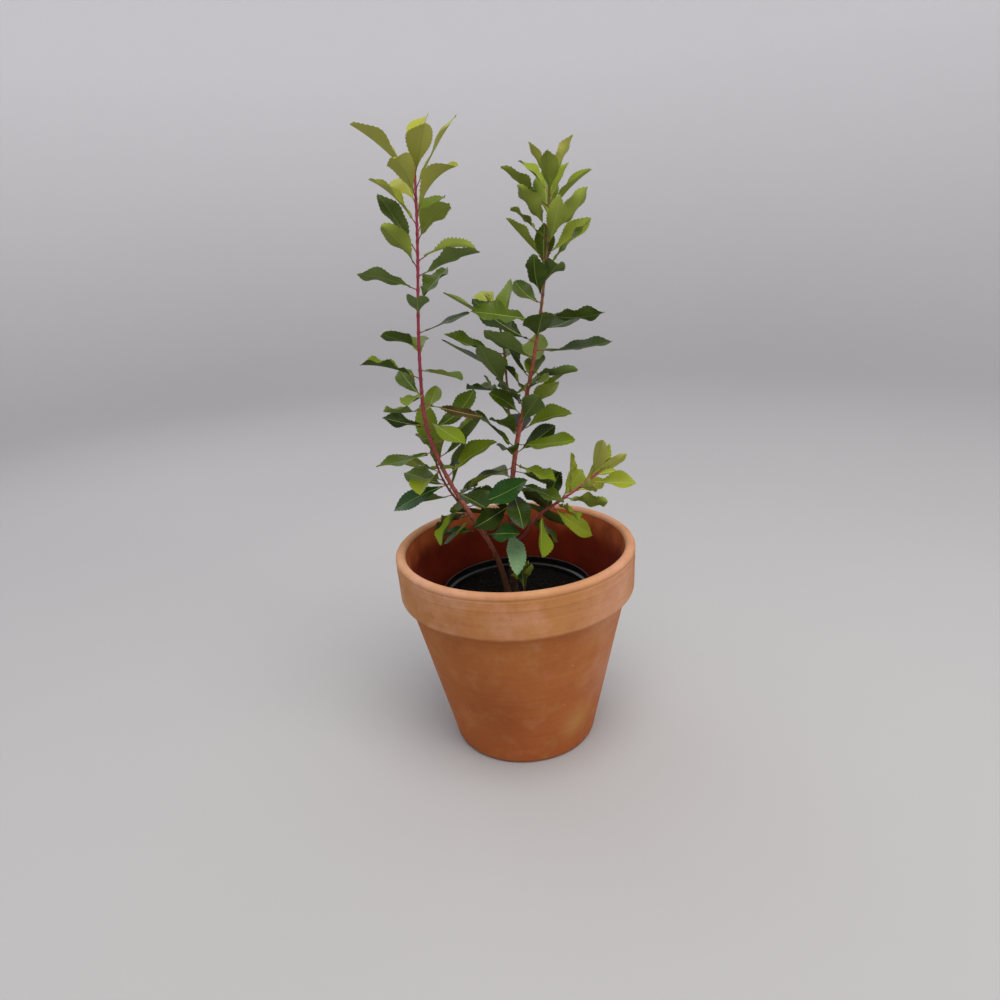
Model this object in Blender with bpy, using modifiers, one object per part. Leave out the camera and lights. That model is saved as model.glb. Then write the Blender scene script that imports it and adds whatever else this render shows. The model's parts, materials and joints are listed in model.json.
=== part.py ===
# A young strawberry tree of two main stems in a nursery pot, set inside a larger terracotta pot.
# Metres, +Z up. The origin is the centre of the terracotta pot's flat underside, and the front is -Y.

import functools
import math
import random

import bmesh
import bpy
from mathutils import Vector
from mathutils.bvhtree import BVHTree

# Gap that parts which touch keep between them
TOUCH_GAP = 0.0003
MERGE_DISTANCE = 0.00001

# Terracotta pot
POT_HEIGHT = 0.264
RIM_RADIUS = 0.150
RIM_INNER_RADIUS = 0.1375
BAND_HEIGHT = 0.060
BAND_FOOT_RADIUS = 0.1484
BODY_TOP_RADIUS = 0.1388
BODY_BASE_RADIUS = 0.0924
POT_WALL = 0.0115
POT_FLOOR = 0.014
LIP_ROUND = 0.0055
BAND_FOOT_ROUND = 0.006
BASE_ROUND = 0.006
LIP_ARC_STEPS = 3
FOOT_ARC_STEPS = 2
POT_STEPS = 56

# Nursery pot, standing on the terracotta pot's floor
NURSERY_RIM_RADIUS = 0.096
NURSERY_RIM_HEIGHT = 0.2017
NURSERY_COLLAR = 0.012
NURSERY_COLLAR_STEP = 0.003
NURSERY_BASE_RADIUS = 0.070
NURSERY_WALL = 0.0014
NURSERY_STEPS = 48

# Potting soil
SOIL_HEIGHT = 0.190
SOIL_EDGE_DROP = 0.004
SOIL_FLAT_RADIUS = 0.032

# Stems and branches. Each bend is the distance along the stem, the lean to the right
# and the lean to the back, in metres and degrees. Each taper is a distance and the radius there.
SHOOTS = {
    "left_stem": {
        "foot": (-0.0121, -0.0060),
        "bends": ((0, -4, 0), (0.095, -27, -6), (0.155, -26, -4), (0.23, -14, -2),
                  (0.28, 1, 0), (0.40, 6, 0), (0.537, 2, 2)),
        "taper": ((0, 0.0037), (0.08, 0.0031), (0.26, 0.0020), (0.47, 0.0014), (0.537, 0.0010)),
        "flare": 0.0022,
    },
    "centre_stem": {
        "foot": (-0.0036, 0.0062),
        "bends": ((0, -3, 2), (0.13, 6, 2), (0.24, 16, 0), (0.38, 9, -2), (0.496, 3, 0)),
        "taper": ((0, 0.0040), (0.12, 0.0032), (0.215, 0.0025), (0.31, 0.0019), (0.43, 0.0013),
                  (0.496, 0.0010)),
        "flare": 0.0022,
    },
    "left_twig": {
        "parent": ("left_stem", 0.074),
        "bends": ((0, -26, 55), (0.03, -43, 22), (0.08, -35, 10), (0.128, -11, 2)),
        "taper": ((0, 0.0018), (0.128, 0.0010)),
    },
    "middle_branch": {
        "parent": ("centre_stem", 0.215),
        "bends": ((0, -60, 30), (0.02, 0, 20), (0.05, 0, 10), (0.10, -2, 6), (0.155, -22, 4)),
        "taper": ((0, 0.0017), (0.155, 0.0010)),
    },
    "right_branch": {
        "parent": ("centre_stem", 0.066),
        "bends": ((0, 54, -20), (0.03, 27, -14), (0.07, 56, -12), (0.150, 49, -8)),
        "taper": ((0, 0.0021), (0.150, 0.0011)),
    },
    "foot_sprig": {
        "foot": (0.0060, -0.0100),
        "bends": ((0, 12, -30), (0.040, 4, -10)),
        "taper": ((0, 0.0015), (0.040, 0.0009)),
    },
}
TRACE_STEP = 0.001
FLARE_REACH = 0.012
FOOT_SINK = 0.003

# Limbs: the bare stretch of each shoot below its foliage
LIMBS = {
    "left_stem": 0.088,
    "centre_stem": 0.085,
    "left_twig": 0.035,
    "middle_branch": 0.036,
    "right_branch": 0.046,
}

# Foliage masses: the stretch of shoot that carries each one and how its leaves stand.
# Pitch is the stem length from leaf to leaf, rise the angle above square to the stem, curl
# how far the leaf bends up along its length, phase the turn of its first leaf.
MASSES = {
    "left_lower_foliage": {
        "shoot": "left_stem", "reach": (0.088, 0.190), "seed": 5792, "phase": 145,
        "hand": -1, "pitch": 0.0087, "leaf": 0.072, "rise": 0, "curl": -4,
    },
    "left_middle_foliage": {
        "shoot": "left_stem", "reach": (0.190, 0.300), "seed": 7646, "phase": 325,
        "hand": 1, "pitch": 0.0073, "leaf": 0.066, "rise": -2, "curl": 14,
    },
    "left_upper_foliage": {
        "shoot": "left_stem", "reach": (0.300, 0.420), "seed": 6944, "phase": 10,
        "hand": 1, "pitch": 0.0128, "leaf": 0.069, "rise": 18, "curl": -8,
    },
    "left_top_foliage": {
        "shoot": "left_stem", "reach": (0.420, 0.537), "seed": 8392, "phase": 45,
        "hand": 1, "pitch": 0.0100, "leaf": 0.080, "rise": 48, "curl": -26,
    },
    "centre_lower_foliage": {
        "shoot": "centre_stem", "reach": (0.085, 0.175), "seed": 6644, "phase": 85,
        "hand": 1, "pitch": 0.0054, "leaf": 0.076, "rise": -10, "curl": -22,
    },
    "centre_middle_foliage": {
        "shoot": "centre_stem", "reach": (0.175, 0.275), "seed": 4802, "phase": 75,
        "hand": 1, "pitch": 0.0055, "leaf": 0.071, "rise": 24, "curl": -8,
    },
    "centre_upper_foliage": {
        "shoot": "centre_stem", "reach": (0.275, 0.385), "seed": 7536, "phase": 350,
        "hand": 1, "pitch": 0.0093, "leaf": 0.083, "rise": 2, "curl": 30,
    },
    "centre_top_foliage": {
        "shoot": "centre_stem", "reach": (0.385, 0.496), "seed": 9191, "phase": 65,
        "hand": -1, "pitch": 0.0077, "leaf": 0.063, "rise": 34, "curl": 6,
    },
    "left_twig_foliage": {
        "shoot": "left_twig", "reach": (0.035, 0.128), "seed": 8283, "phase": 205,
        "hand": 1, "pitch": 0.0104, "leaf": 0.084, "rise": 15, "curl": -8,
    },
    "middle_shoot_foliage": {
        "shoot": "middle_branch", "reach": (0.036, 0.155), "seed": 9726, "phase": 140,
        "hand": 1, "pitch": 0.0077, "leaf": 0.076, "rise": 20, "curl": 14,
    },
    "right_shoot_foliage": {
        "shoot": "right_branch", "reach": (0.046, 0.150), "seed": 4365, "phase": 235,
        "hand": -1, "pitch": 0.0081, "leaf": 0.062, "rise": 15, "curl": 8,
    },
    "foot_sprig_foliage": {
        "shoot": "foot_sprig", "reach": (0.000, 0.040), "seed": 3136, "phase": 80,
        "hand": -1, "pitch": 0.0074, "leaf": 0.030, "rise": 25, "curl": 12,
    },
}

# Growth near a shoot's tip: leaves stand steeper, closer and shorter
DIVERGENCE = math.radians(137.5)
YOUNG_REACH = 0.026
YOUNG_RISE = 62
YOUNG_PITCH_SHARE = 0.36
YOUNG_LEAF_SHARE = 0.86
FIRST_LEAF = 0.006
LAST_LEAF = 0.0015

# Spread of the leaves about their rule, as standard deviations in degrees
TURN_SPREAD = 14
RISE_SPREAD = 10
CURL_SPREAD = 16
ROLL_SPREAD = 24
TWIST_SPREAD = 16
LEAF_SIZES = (0.78, 1.18)
PITCH_SIZES = (0.7, 1.3)
FALLEN_SHARE = 0.07

# Leaf: petiole, then a blade that is widest past its middle. Each station is the share of
# the length and the share of the half width.
LEAF_WIDTH_SHARE = 0.40
LEAF_STATIONS = ((0.36, 0.58), (0.66, 1.0), (0.88, 0.64))
PETIOLE_SHARE = 0.12
PETIOLE_HALF = 0.0009
BLADE_HALF_THICKNESS = 0.0005
LEAF_FOLD = math.tan(math.radians(16))
ROOT_DEPTH_SHARE = 0.55
RING_CORNERS = 4

# Clear space round a leaf and the turns tried when it has no room
CLEAR_WIDTH = 0.0012
CLEAR_THICKNESS = 0.0011
TRIED_TURNS = (0, 14, -14, 28, -28)

LIMB_POINT_PITCH = 0.011
LIMB_BEVEL_RESOLUTION = 2
TWIG_BEVEL_RESOLUTION = 1


# Materials

def make_material(name, colour, roughness):
    material = bpy.data.materials.new(name)
    material.use_nodes = True
    shader = material.node_tree.nodes["Principled BSDF"]
    shader.inputs["Base Color"].default_value = (*colour, 1)
    shader.inputs["Roughness"].default_value = roughness
    shader.inputs["Metallic"].default_value = 0
    return material


# Turned pots and soil

def turned(name, profile, steps, material):
    # The profile runs in the XZ plane from the axis over the top and down the outer side
    mesh = bpy.data.meshes.new(name)
    edges = [(index, index + 1) for index in range(len(profile) - 1)]
    mesh.from_pydata([(radius, 0, height) for radius, height in profile], edges, [])
    piece = bpy.data.objects.new(name, mesh)
    screw = piece.modifiers.new("turn", "SCREW")
    screw.steps = steps
    screw.render_steps = steps
    screw.use_merge_vertices = True
    screw.merge_threshold = MERGE_DISTANCE
    screw.use_smooth_shade = True
    mesh.materials.append(material)
    return piece


def arc(centre, radius, start, end, count):
    # Points of a round stretch of profile, with the angles in degrees from +X
    points = []
    for index in range(count + 1):
        angle = math.radians(start + (end - start) * index / count)
        points.append((centre[0] + radius * math.cos(angle), centre[1] + radius * math.sin(angle)))
    return points


def terracotta_profile():
    band_foot = POT_HEIGHT - BAND_HEIGHT
    inner_slope = (BODY_TOP_RADIUS - BODY_BASE_RADIUS) / band_foot
    floor_radius = BODY_BASE_RADIUS + inner_slope * POT_FLOOR - POT_WALL
    lip_height = POT_HEIGHT - LIP_ROUND
    base_radius = BODY_BASE_RADIUS + inner_slope * BASE_ROUND - BASE_ROUND
    profile = [(0, POT_FLOOR), (floor_radius, POT_FLOOR)]
    profile += arc((RIM_INNER_RADIUS + LIP_ROUND, lip_height), LIP_ROUND, 180, 90, LIP_ARC_STEPS)
    profile += arc((RIM_RADIUS - LIP_ROUND, lip_height), LIP_ROUND, 90, 0, LIP_ARC_STEPS)
    profile += arc((BAND_FOOT_RADIUS - BAND_FOOT_ROUND, band_foot + BAND_FOOT_ROUND),
                   BAND_FOOT_ROUND, 0, -90, FOOT_ARC_STEPS)
    profile.append((BODY_TOP_RADIUS, band_foot))
    profile += arc((base_radius, BASE_ROUND), BASE_ROUND, 0, -90, FOOT_ARC_STEPS)
    profile.append((0, 0))
    return profile


def nursery_profile():
    foot = POT_FLOOR + TOUCH_GAP
    collar_foot = NURSERY_RIM_HEIGHT - NURSERY_COLLAR
    wall_top = NURSERY_RIM_RADIUS - NURSERY_COLLAR_STEP
    return [
        (0, foot + NURSERY_WALL),
        (NURSERY_BASE_RADIUS - NURSERY_WALL, foot + NURSERY_WALL),
        (wall_top - NURSERY_WALL, collar_foot + NURSERY_WALL),
        (NURSERY_RIM_RADIUS - NURSERY_WALL, collar_foot + NURSERY_COLLAR_STEP),
        (NURSERY_RIM_RADIUS - NURSERY_WALL, NURSERY_RIM_HEIGHT),
        (NURSERY_RIM_RADIUS, NURSERY_RIM_HEIGHT),
        (NURSERY_RIM_RADIUS, collar_foot + NURSERY_WALL),
        (wall_top, collar_foot - NURSERY_WALL),
        (NURSERY_BASE_RADIUS, foot),
        (0, foot),
    ]


def soil_profile():
    foot = POT_FLOOR + NURSERY_WALL + 2 * TOUCH_GAP
    collar_foot = NURSERY_RIM_HEIGHT - NURSERY_COLLAR
    edge = SOIL_HEIGHT - SOIL_EDGE_DROP
    inner_base = NURSERY_BASE_RADIUS - NURSERY_WALL - 2 * TOUCH_GAP
    inner_top = NURSERY_RIM_RADIUS - NURSERY_COLLAR_STEP - NURSERY_WALL - 2 * TOUCH_GAP
    wall_share = (edge - foot) / (collar_foot - foot)
    edge_radius = inner_base + (inner_top - inner_base) * wall_share
    return [(0, SOIL_HEIGHT), (SOIL_FLAT_RADIUS, SOIL_HEIGHT), (edge_radius, edge),
            (inner_base, foot), (0, foot)]


# Shoots

def value_at(table, place, column):
    # Straight interpolation in a table whose first column rises
    for low, high in zip(table, table[1:]):
        if place <= high[0]:
            share = max(0.0, (place - low[0]) / (high[0] - low[0]))
            return low[column] + (high[column] - low[column]) * share
    return table[-1][column]


def shoot_length(shoot):
    return SHOOTS[shoot]["bends"][-1][0]


def shoot_heading(shoot, distance):
    bends = SHOOTS[shoot]["bends"]
    sideways = math.radians(value_at(bends, distance, 1))
    back = math.radians(value_at(bends, distance, 2))
    return Vector((math.sin(sideways) * math.cos(back), math.sin(back),
                   math.cos(sideways) * math.cos(back)))


def shoot_radius(shoot, distance):
    radius = value_at(SHOOTS[shoot]["taper"], distance, 1)
    return radius + SHOOTS[shoot].get("flare", 0) * math.exp(-distance / FLARE_REACH)


def shoot_foot(shoot):
    if "foot" in SHOOTS[shoot]:
        return Vector((*SHOOTS[shoot]["foot"], SOIL_HEIGHT + TOUCH_GAP))
    # The cut foot of a branch stands just clear of its parent's side
    parent, joint = SHOOTS[shoot]["parent"]
    branch_way = shoot_heading(shoot, 0)
    cosine = branch_way.dot(shoot_heading(parent, joint))
    sine = math.sqrt(1 - cosine * cosine)
    reach = shoot_radius(parent, joint) + TOUCH_GAP + shoot_radius(shoot, 0) * abs(cosine)
    return shoot_point(parent, joint) + branch_way * (reach / sine)


@functools.cache
def shoot_line(shoot):
    # Points along the middle of a shoot, one at every trace step
    points = [shoot_foot(shoot)]
    for step in range(math.ceil(shoot_length(shoot) / TRACE_STEP)):
        way = shoot_heading(shoot, (step + 0.5) * TRACE_STEP)
        points.append(points[-1] + way * TRACE_STEP)
    return points


def shoot_point(shoot, distance):
    line = shoot_line(shoot)
    step = min(int(distance / TRACE_STEP), len(line) - 2)
    return line[step].lerp(line[step + 1], distance / TRACE_STEP - step)


def cut_level(shape, height):
    # Cuts away what lies below a height and closes the cut with a flat face
    geometry = shape.verts[:] + shape.edges[:] + shape.faces[:]
    cut = bmesh.ops.bisect_plane(shape, geom=geometry, plane_co=(0, 0, height),
                                 plane_no=(0, 0, 1), clear_inner=True)
    rim = [part for part in cut["geom_cut"] if isinstance(part, bmesh.types.BMEdge)]
    bmesh.ops.edgeloop_fill(shape, edges=rim)


def stem_piece(name, shoot, start, end, bevel_resolution, material):
    # A tapering round stretch of shoot with flat ends
    count = max(2, round((end - start) / LIMB_POINT_PITCH))
    curve = bpy.data.curves.new(name, "CURVE")
    curve.dimensions = "3D"
    curve.bevel_depth = 1
    curve.bevel_resolution = bevel_resolution
    curve.use_fill_caps = True
    spline = curve.splines.new("POLY")
    spline.points.add(count)
    for index, point in enumerate(spline.points):
        distance = start + (end - start) * index / count
        point.co = (*shoot_point(shoot, distance), 1)
        point.radius = shoot_radius(shoot, distance)
    stands = start == 0 and "foot" in SHOOTS[shoot]
    if stands:
        low = spline.points[0]
        low.co = (*(low.co.xyz - shoot_heading(shoot, 0) * FOOT_SINK), 1)
    guide = bpy.data.objects.new(name + "_curve", curve)
    bpy.context.scene.collection.objects.link(guide)
    graph = bpy.context.evaluated_depsgraph_get()
    mesh = bpy.data.meshes.new_from_object(guide.evaluated_get(graph))
    mesh.name = name
    bpy.data.objects.remove(guide)
    shape = bmesh.new()
    shape.from_mesh(mesh)
    bmesh.ops.remove_doubles(shape, verts=shape.verts, dist=MERGE_DISTANCE)
    if stands:
        cut_level(shape, SOIL_HEIGHT + TOUCH_GAP)
    bmesh.ops.recalc_face_normals(shape, faces=shape.faces)
    shape.to_mesh(mesh)
    shape.free()
    mesh.materials.clear()
    mesh.materials.append(material)
    return bpy.data.objects.new(name, mesh)


# Leaves

def leaf_plan(mass):
    # One dictionary for each leaf of a mass, by the spiral rule and its seed
    chance = random.Random(mass["seed"])
    length = shoot_length(mass["shoot"])
    start, end = mass["reach"]
    distance = start + FIRST_LEAF
    turn = math.radians(mass["phase"])
    plan = []
    while distance < min(end - LAST_LEAF, length - LAST_LEAF):
        youth = math.exp(-(length - distance) / YOUNG_REACH)
        rise = mass["rise"] + (YOUNG_RISE - mass["rise"]) * youth + chance.gauss(0, RISE_SPREAD)
        size = 1 + (YOUNG_LEAF_SHARE - 1) * youth
        leaf = {
            "distance": distance,
            "turn": turn + math.radians(chance.gauss(0, TURN_SPREAD)),
            "rise": math.radians(rise),
            "length": mass["leaf"] * size * chance.uniform(*LEAF_SIZES),
            "curl": math.radians(mass["curl"] + chance.gauss(0, CURL_SPREAD)),
            "roll": math.radians(chance.gauss(0, ROLL_SPREAD) * (1 - youth)),
            "twist": math.radians(chance.gauss(0, TWIST_SPREAD)),
        }
        if chance.random() > FALLEN_SHARE:
            plan.append(leaf)
        pitch = mass["pitch"] * chance.uniform(*PITCH_SIZES)
        distance += pitch * (1 + (YOUNG_PITCH_SHARE - 1) * youth)
        turn += mass["hand"] * DIVERGENCE
    return plan


def leaf_solid(leaf, shoot, extra_turn=0.0, extra_width=0.0, extra_thickness=0.0):
    # Corner points and faces of a folded blade on its petiole, rooted inside the stem
    distance = leaf["distance"]
    axis = shoot_heading(shoot, distance)
    sideways = axis.cross(Vector((0, 1, 0))).normalized()
    turn = leaf["turn"] + extra_turn
    outward = sideways * math.cos(turn) + axis.cross(sideways) * math.sin(turn)
    flank = axis.cross(outward)
    depth = shoot_radius(shoot, distance) * ROOT_DEPTH_SHARE
    root = shoot_point(shoot, distance) + outward * depth
    half_width = leaf["length"] * LEAF_WIDTH_SHARE / 2
    petiole = PETIOLE_HALF + extra_thickness / 2
    blade = BLADE_HALF_THICKNESS + extra_thickness
    stations = [(0, petiole, petiole, 0), (PETIOLE_SHARE, petiole, petiole, 0)]
    for share, width in LEAF_STATIONS:
        stations.append((share, half_width * width + extra_width, blade, LEAF_FOLD))
    stations.append((1.0, 0, 0, 0))
    points = []
    place = root
    previous = 0.0
    for share, width, thickness, fold in stations:
        middle = (share + previous) / 2
        slope = leaf["rise"] + leaf["curl"] * middle
        way = outward * math.cos(slope) + axis * math.sin(slope)
        place = place + way * leaf["length"] * (share - previous)
        previous = share
        slope = leaf["rise"] + leaf["curl"] * share
        over = axis * math.cos(slope) - outward * math.sin(slope)
        roll = leaf["roll"] + leaf["twist"] * share
        side = flank * math.cos(roll) + over * math.sin(roll)
        face = over * math.cos(roll) - flank * math.sin(roll)
        if width == 0:
            points.append(place)
            break
        edge_lift = face * width * fold
        points += [place - side * width + edge_lift, place - face * thickness,
                   place + side * width + edge_lift, place + face * thickness]
    return points, blade_faces(len(stations) - 1)


def blade_faces(rings):
    # Quads round the four-sided rings, a flat root and a pointed tip
    faces = [tuple(range(RING_CORNERS))]
    for ring in range(rings - 1):
        for corner in range(RING_CORNERS):
            low = ring * RING_CORNERS + corner
            follow = ring * RING_CORNERS + (corner + 1) % RING_CORNERS
            faces.append((follow, low, low + RING_CORNERS, follow + RING_CORNERS))
    last = (rings - 1) * RING_CORNERS
    for corner in range(RING_CORNERS):
        follow = (corner + 1) % RING_CORNERS
        faces.append((last + follow, last + corner, last + RING_CORNERS))
    return faces


def solid_object(name, points, faces, material):
    mesh = bpy.data.meshes.new(name)
    mesh.from_pydata(points, [], faces)
    mesh.materials.append(material)
    shape = bmesh.new()
    shape.from_mesh(mesh)
    bmesh.ops.triangulate(shape, faces=shape.faces)
    bmesh.ops.recalc_face_normals(shape, faces=shape.faces)
    shape.to_mesh(mesh)
    shape.free()
    return bpy.data.objects.new(name, mesh)


def room_tree(piece):
    # Search tree of a piece as it stands, for testing what a leaf would meet
    graph = bpy.context.evaluated_depsgraph_get()
    mesh = piece.evaluated_get(graph).to_mesh()
    tree = BVHTree.FromPolygons([vertex.co.copy() for vertex in mesh.vertices],
                                [tuple(face.vertices) for face in mesh.polygons])
    piece.evaluated_get(graph).to_mesh_clear()
    return tree


def turn_with_room(leaf, shoot, own, others):
    # The first tried turn at which a slightly larger leaf meets nothing, or None. Only its own
    # mass may touch its petiole.
    for turn in TRIED_TURNS:
        extra = math.radians(turn)
        points, faces = leaf_solid(leaf, shoot, extra, CLEAR_WIDTH, CLEAR_THICKNESS)
        blade_faces_only = [face for face in faces if min(face) >= RING_CORNERS]
        blade = BVHTree.FromPolygons(points, blade_faces_only)
        whole = BVHTree.FromPolygons(points, faces)
        meets_own = any(blade.overlap(tree) for tree in own)
        if not meets_own and not any(whole.overlap(tree) for tree in others):
            return extra
    return None


def grow_leaves(name, mass, taken, material):
    # Leaf solids of a mass, skipping each that has no room. Taken holds the search trees of
    # every piece by name.
    shoot = mass["shoot"]
    own = taken[name]
    others = [tree for owner, trees in taken.items() if owner != name for tree in trees]
    leaves = []
    for index, leaf in enumerate(leaf_plan(mass)):
        extra = turn_with_room(leaf, shoot, own, others)
        if extra is None:
            continue
        points, faces = leaf_solid(leaf, shoot, extra)
        leaves.append(solid_object(f"{name}_leaf_{index:02d}", points, faces, material))
        own.append(BVHTree.FromPolygons(points, faces))
    return leaves


def fuse(stem, leaves):
    # Joins the leaves to their stem as one closed body
    group = bpy.data.collections.new(stem.name + "_leaves")
    bpy.context.scene.collection.children.link(group)
    for leaf in leaves:
        group.objects.link(leaf)
    union = stem.modifiers.new("fuse", "BOOLEAN")
    union.operation = "UNION"
    union.operand_type = "COLLECTION"
    union.collection = group
    graph = bpy.context.evaluated_depsgraph_get()
    fused = bpy.data.meshes.new_from_object(stem.evaluated_get(graph))
    fused.name = stem.name
    stem.modifiers.remove(union)
    stem.data = fused
    for leaf in leaves:
        bpy.data.objects.remove(leaf)
    bpy.data.collections.remove(group)


# Assembly

def main():
    for old in list(bpy.data.objects):
        bpy.data.objects.remove(old)
    plant = bpy.data.collections.new("potted_strawberry_tree")
    bpy.context.scene.collection.children.link(plant)

    terracotta = make_material("terracotta", (0.40, 0.18, 0.07), 0.85)
    black_plastic = make_material("black_plastic", (0.012, 0.012, 0.013), 0.45)
    soil = make_material("potting_soil", (0.012, 0.009, 0.007), 0.95)
    bark = make_material("bark", (0.24, 0.08, 0.05), 0.7)
    leaf_green = make_material("leaf_green", (0.07, 0.14, 0.02), 0.45)

    pots = [
        turned("terracotta_pot", terracotta_profile(), POT_STEPS, terracotta),
        turned("nursery_pot", nursery_profile(), NURSERY_STEPS, black_plastic),
        turned("potting_soil", soil_profile(), NURSERY_STEPS, soil),
    ]
    for piece in pots:
        plant.objects.link(piece)

    limbs = []
    for name, end in LIMBS.items():
        limb = stem_piece(name, name, 0, end - TOUCH_GAP / 2, LIMB_BEVEL_RESOLUTION, bark)
        plant.objects.link(limb)
        limbs.append(limb)

    stems = {}
    for name, mass in MASSES.items():
        shoot = mass["shoot"]
        start, end = mass["reach"]
        low = start + TOUCH_GAP / 2 if start > 0 else 0
        high = min(end, shoot_length(shoot) + TOUCH_GAP / 2) - TOUCH_GAP / 2
        stems[name] = stem_piece(name, shoot, low, high, TWIG_BEVEL_RESOLUTION, leaf_green)
        plant.objects.link(stems[name])

    taken = {piece.name: [room_tree(piece)] for piece in [*pots, *limbs, *stems.values()]}
    for name, mass in MASSES.items():
        fuse(stems[name], grow_leaves(name, mass, taken, leaf_green))


main()
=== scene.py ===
# Looks of a young strawberry tree in its nursery pot, set inside a larger terracotta pot.
# Metres, +Z up, the front is -Y.

import json
import math
import random

import bpy
import numpy as np
from mathutils import Matrix, Vector, noise
from mathutils.kdtree import KDTree

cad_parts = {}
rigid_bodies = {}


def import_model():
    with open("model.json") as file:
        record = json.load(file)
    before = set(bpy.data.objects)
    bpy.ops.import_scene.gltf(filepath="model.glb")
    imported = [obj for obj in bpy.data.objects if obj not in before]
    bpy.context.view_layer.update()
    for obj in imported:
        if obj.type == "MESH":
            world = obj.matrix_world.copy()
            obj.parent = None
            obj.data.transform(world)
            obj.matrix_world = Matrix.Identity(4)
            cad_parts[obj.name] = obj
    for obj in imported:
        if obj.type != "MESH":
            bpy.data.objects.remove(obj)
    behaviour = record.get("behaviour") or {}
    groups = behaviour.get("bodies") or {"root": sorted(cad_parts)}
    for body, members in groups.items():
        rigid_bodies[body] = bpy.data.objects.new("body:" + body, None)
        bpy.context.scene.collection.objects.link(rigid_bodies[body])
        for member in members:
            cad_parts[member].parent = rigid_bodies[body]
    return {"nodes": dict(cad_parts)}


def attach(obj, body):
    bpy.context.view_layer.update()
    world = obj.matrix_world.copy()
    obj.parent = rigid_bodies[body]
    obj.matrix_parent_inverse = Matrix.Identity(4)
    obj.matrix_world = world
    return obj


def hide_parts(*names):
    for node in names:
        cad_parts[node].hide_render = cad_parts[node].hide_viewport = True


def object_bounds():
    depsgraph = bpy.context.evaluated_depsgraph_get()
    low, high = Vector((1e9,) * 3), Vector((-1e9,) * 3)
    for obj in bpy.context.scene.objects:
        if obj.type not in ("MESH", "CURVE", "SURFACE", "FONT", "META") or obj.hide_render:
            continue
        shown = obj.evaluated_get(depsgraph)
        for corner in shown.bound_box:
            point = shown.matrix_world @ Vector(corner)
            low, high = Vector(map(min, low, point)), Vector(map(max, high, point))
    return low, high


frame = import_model()
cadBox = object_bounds()
millimetre = 0.001


# Small helpers

def hexColour(text):  # sRGB hex to the linear values that Blender's sockets hold
    shares = [int(text[place:place + 2], 16) / 255 for place in (0, 2, 4)]
    linear = [share / 12.92 if share <= 0.04045 else ((share + 0.055) / 1.055) ** 2.4
              for share in shares]
    return (*linear, 1.0)


def addNode(tree, kind, settings=None, inputs=None):
    # Settings are the node's own properties, inputs are values or the sockets to link from
    node = tree.nodes.new(kind)
    for name, value in (settings or {}).items():
        if name == "stops":  # a colour ramp's places and colours
            ramp = node.color_ramp
            while len(ramp.elements) < len(value):
                ramp.elements.new(0.5)
            for element, (place, colour) in zip(ramp.elements, value):
                element.position = place
                element.color = colour
        else:
            setattr(node, name, value)
    for name, value in (inputs or {}).items():
        if isinstance(value, bpy.types.NodeSocket):
            tree.links.new(value, node.inputs[name])
        else:
            node.inputs[name].default_value = value
    return node


def newMaterial(name, shading):
    material = bpy.data.materials.new(name)
    material.use_nodes = True
    shader = material.node_tree.nodes["Principled BSDF"]
    for socket, value in shading.items():
        shader.inputs[socket].default_value = value
    return material, material.node_tree, shader


def newMeshObject(name, points, faces, materials):
    mesh = bpy.data.meshes.new(name)
    mesh.from_pydata(points, [], faces)
    for material in materials:
        mesh.materials.append(material)
    piece = bpy.data.objects.new(name, mesh)
    bpy.context.scene.collection.objects.link(piece)
    return piece


def finishPiece(piece, slot, *nodes):
    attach(piece, "root")
    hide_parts(*nodes)


def arcPoints(centre, radius, start, end, steps):
    return [(centre[0] + radius * math.cos(math.radians(start + (end - start) * step / steps)),
             centre[1] + radius * math.sin(math.radians(start + (end - start) * step / steps)))
            for step in range(steps + 1)]


# Geometry Nodes trees

def newGeometryTree(name, sockets):
    tree = bpy.data.node_groups.new(name, "GeometryNodeTree")
    for label, kind in (("Geometry", "NodeSocketGeometry"), *sockets):
        tree.interface.new_socket(label, in_out="INPUT", socket_type=kind)
    tree.interface.new_socket("Geometry", in_out="OUTPUT", socket_type="NodeSocketGeometry")
    return tree, tree.nodes.new("NodeGroupInput").outputs


def endGeometryTree(tree, geometry, material):
    realized = addNode(tree, "GeometryNodeRealizeInstances", None, {"Geometry": geometry})
    smooth = addNode(tree, "GeometryNodeSetShadeSmooth", None, {"Geometry": realized.outputs[0]})
    finished = addNode(tree, "GeometryNodeSetMaterial", None,
                       {"Geometry": smooth.outputs[0], "Material": material})
    tree.links.new(finished.outputs[0], tree.nodes.new("NodeGroupOutput").inputs[0])


def growWithTree(name, source, tree, values):
    # Runs a tree on a source object and keeps the result as a plain mesh in its place
    modifier = source.modifiers.new("grow", "NODES")
    modifier.node_group = tree
    for item in tree.interface.items_tree:
        if item.in_out == "INPUT" and item.name in values:
            modifier[item.identifier] = values[item.name]
    graph = bpy.context.evaluated_depsgraph_get()
    mesh = bpy.data.meshes.new_from_object(source.evaluated_get(graph))
    mesh.name = name
    source.modifiers.remove(modifier)
    bpy.data.objects.remove(source)
    piece = bpy.data.objects.new(name, mesh)
    bpy.context.scene.collection.objects.link(piece)
    return piece


# Camera, floor and light

cameraView = {
    "place": (0.0, -0.8661, 0.6248), "lookDown": 19.348, "yaw": -0.956, "roll": -4.056,
    "lens": 26.77, "sensor": 36,
}


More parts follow.
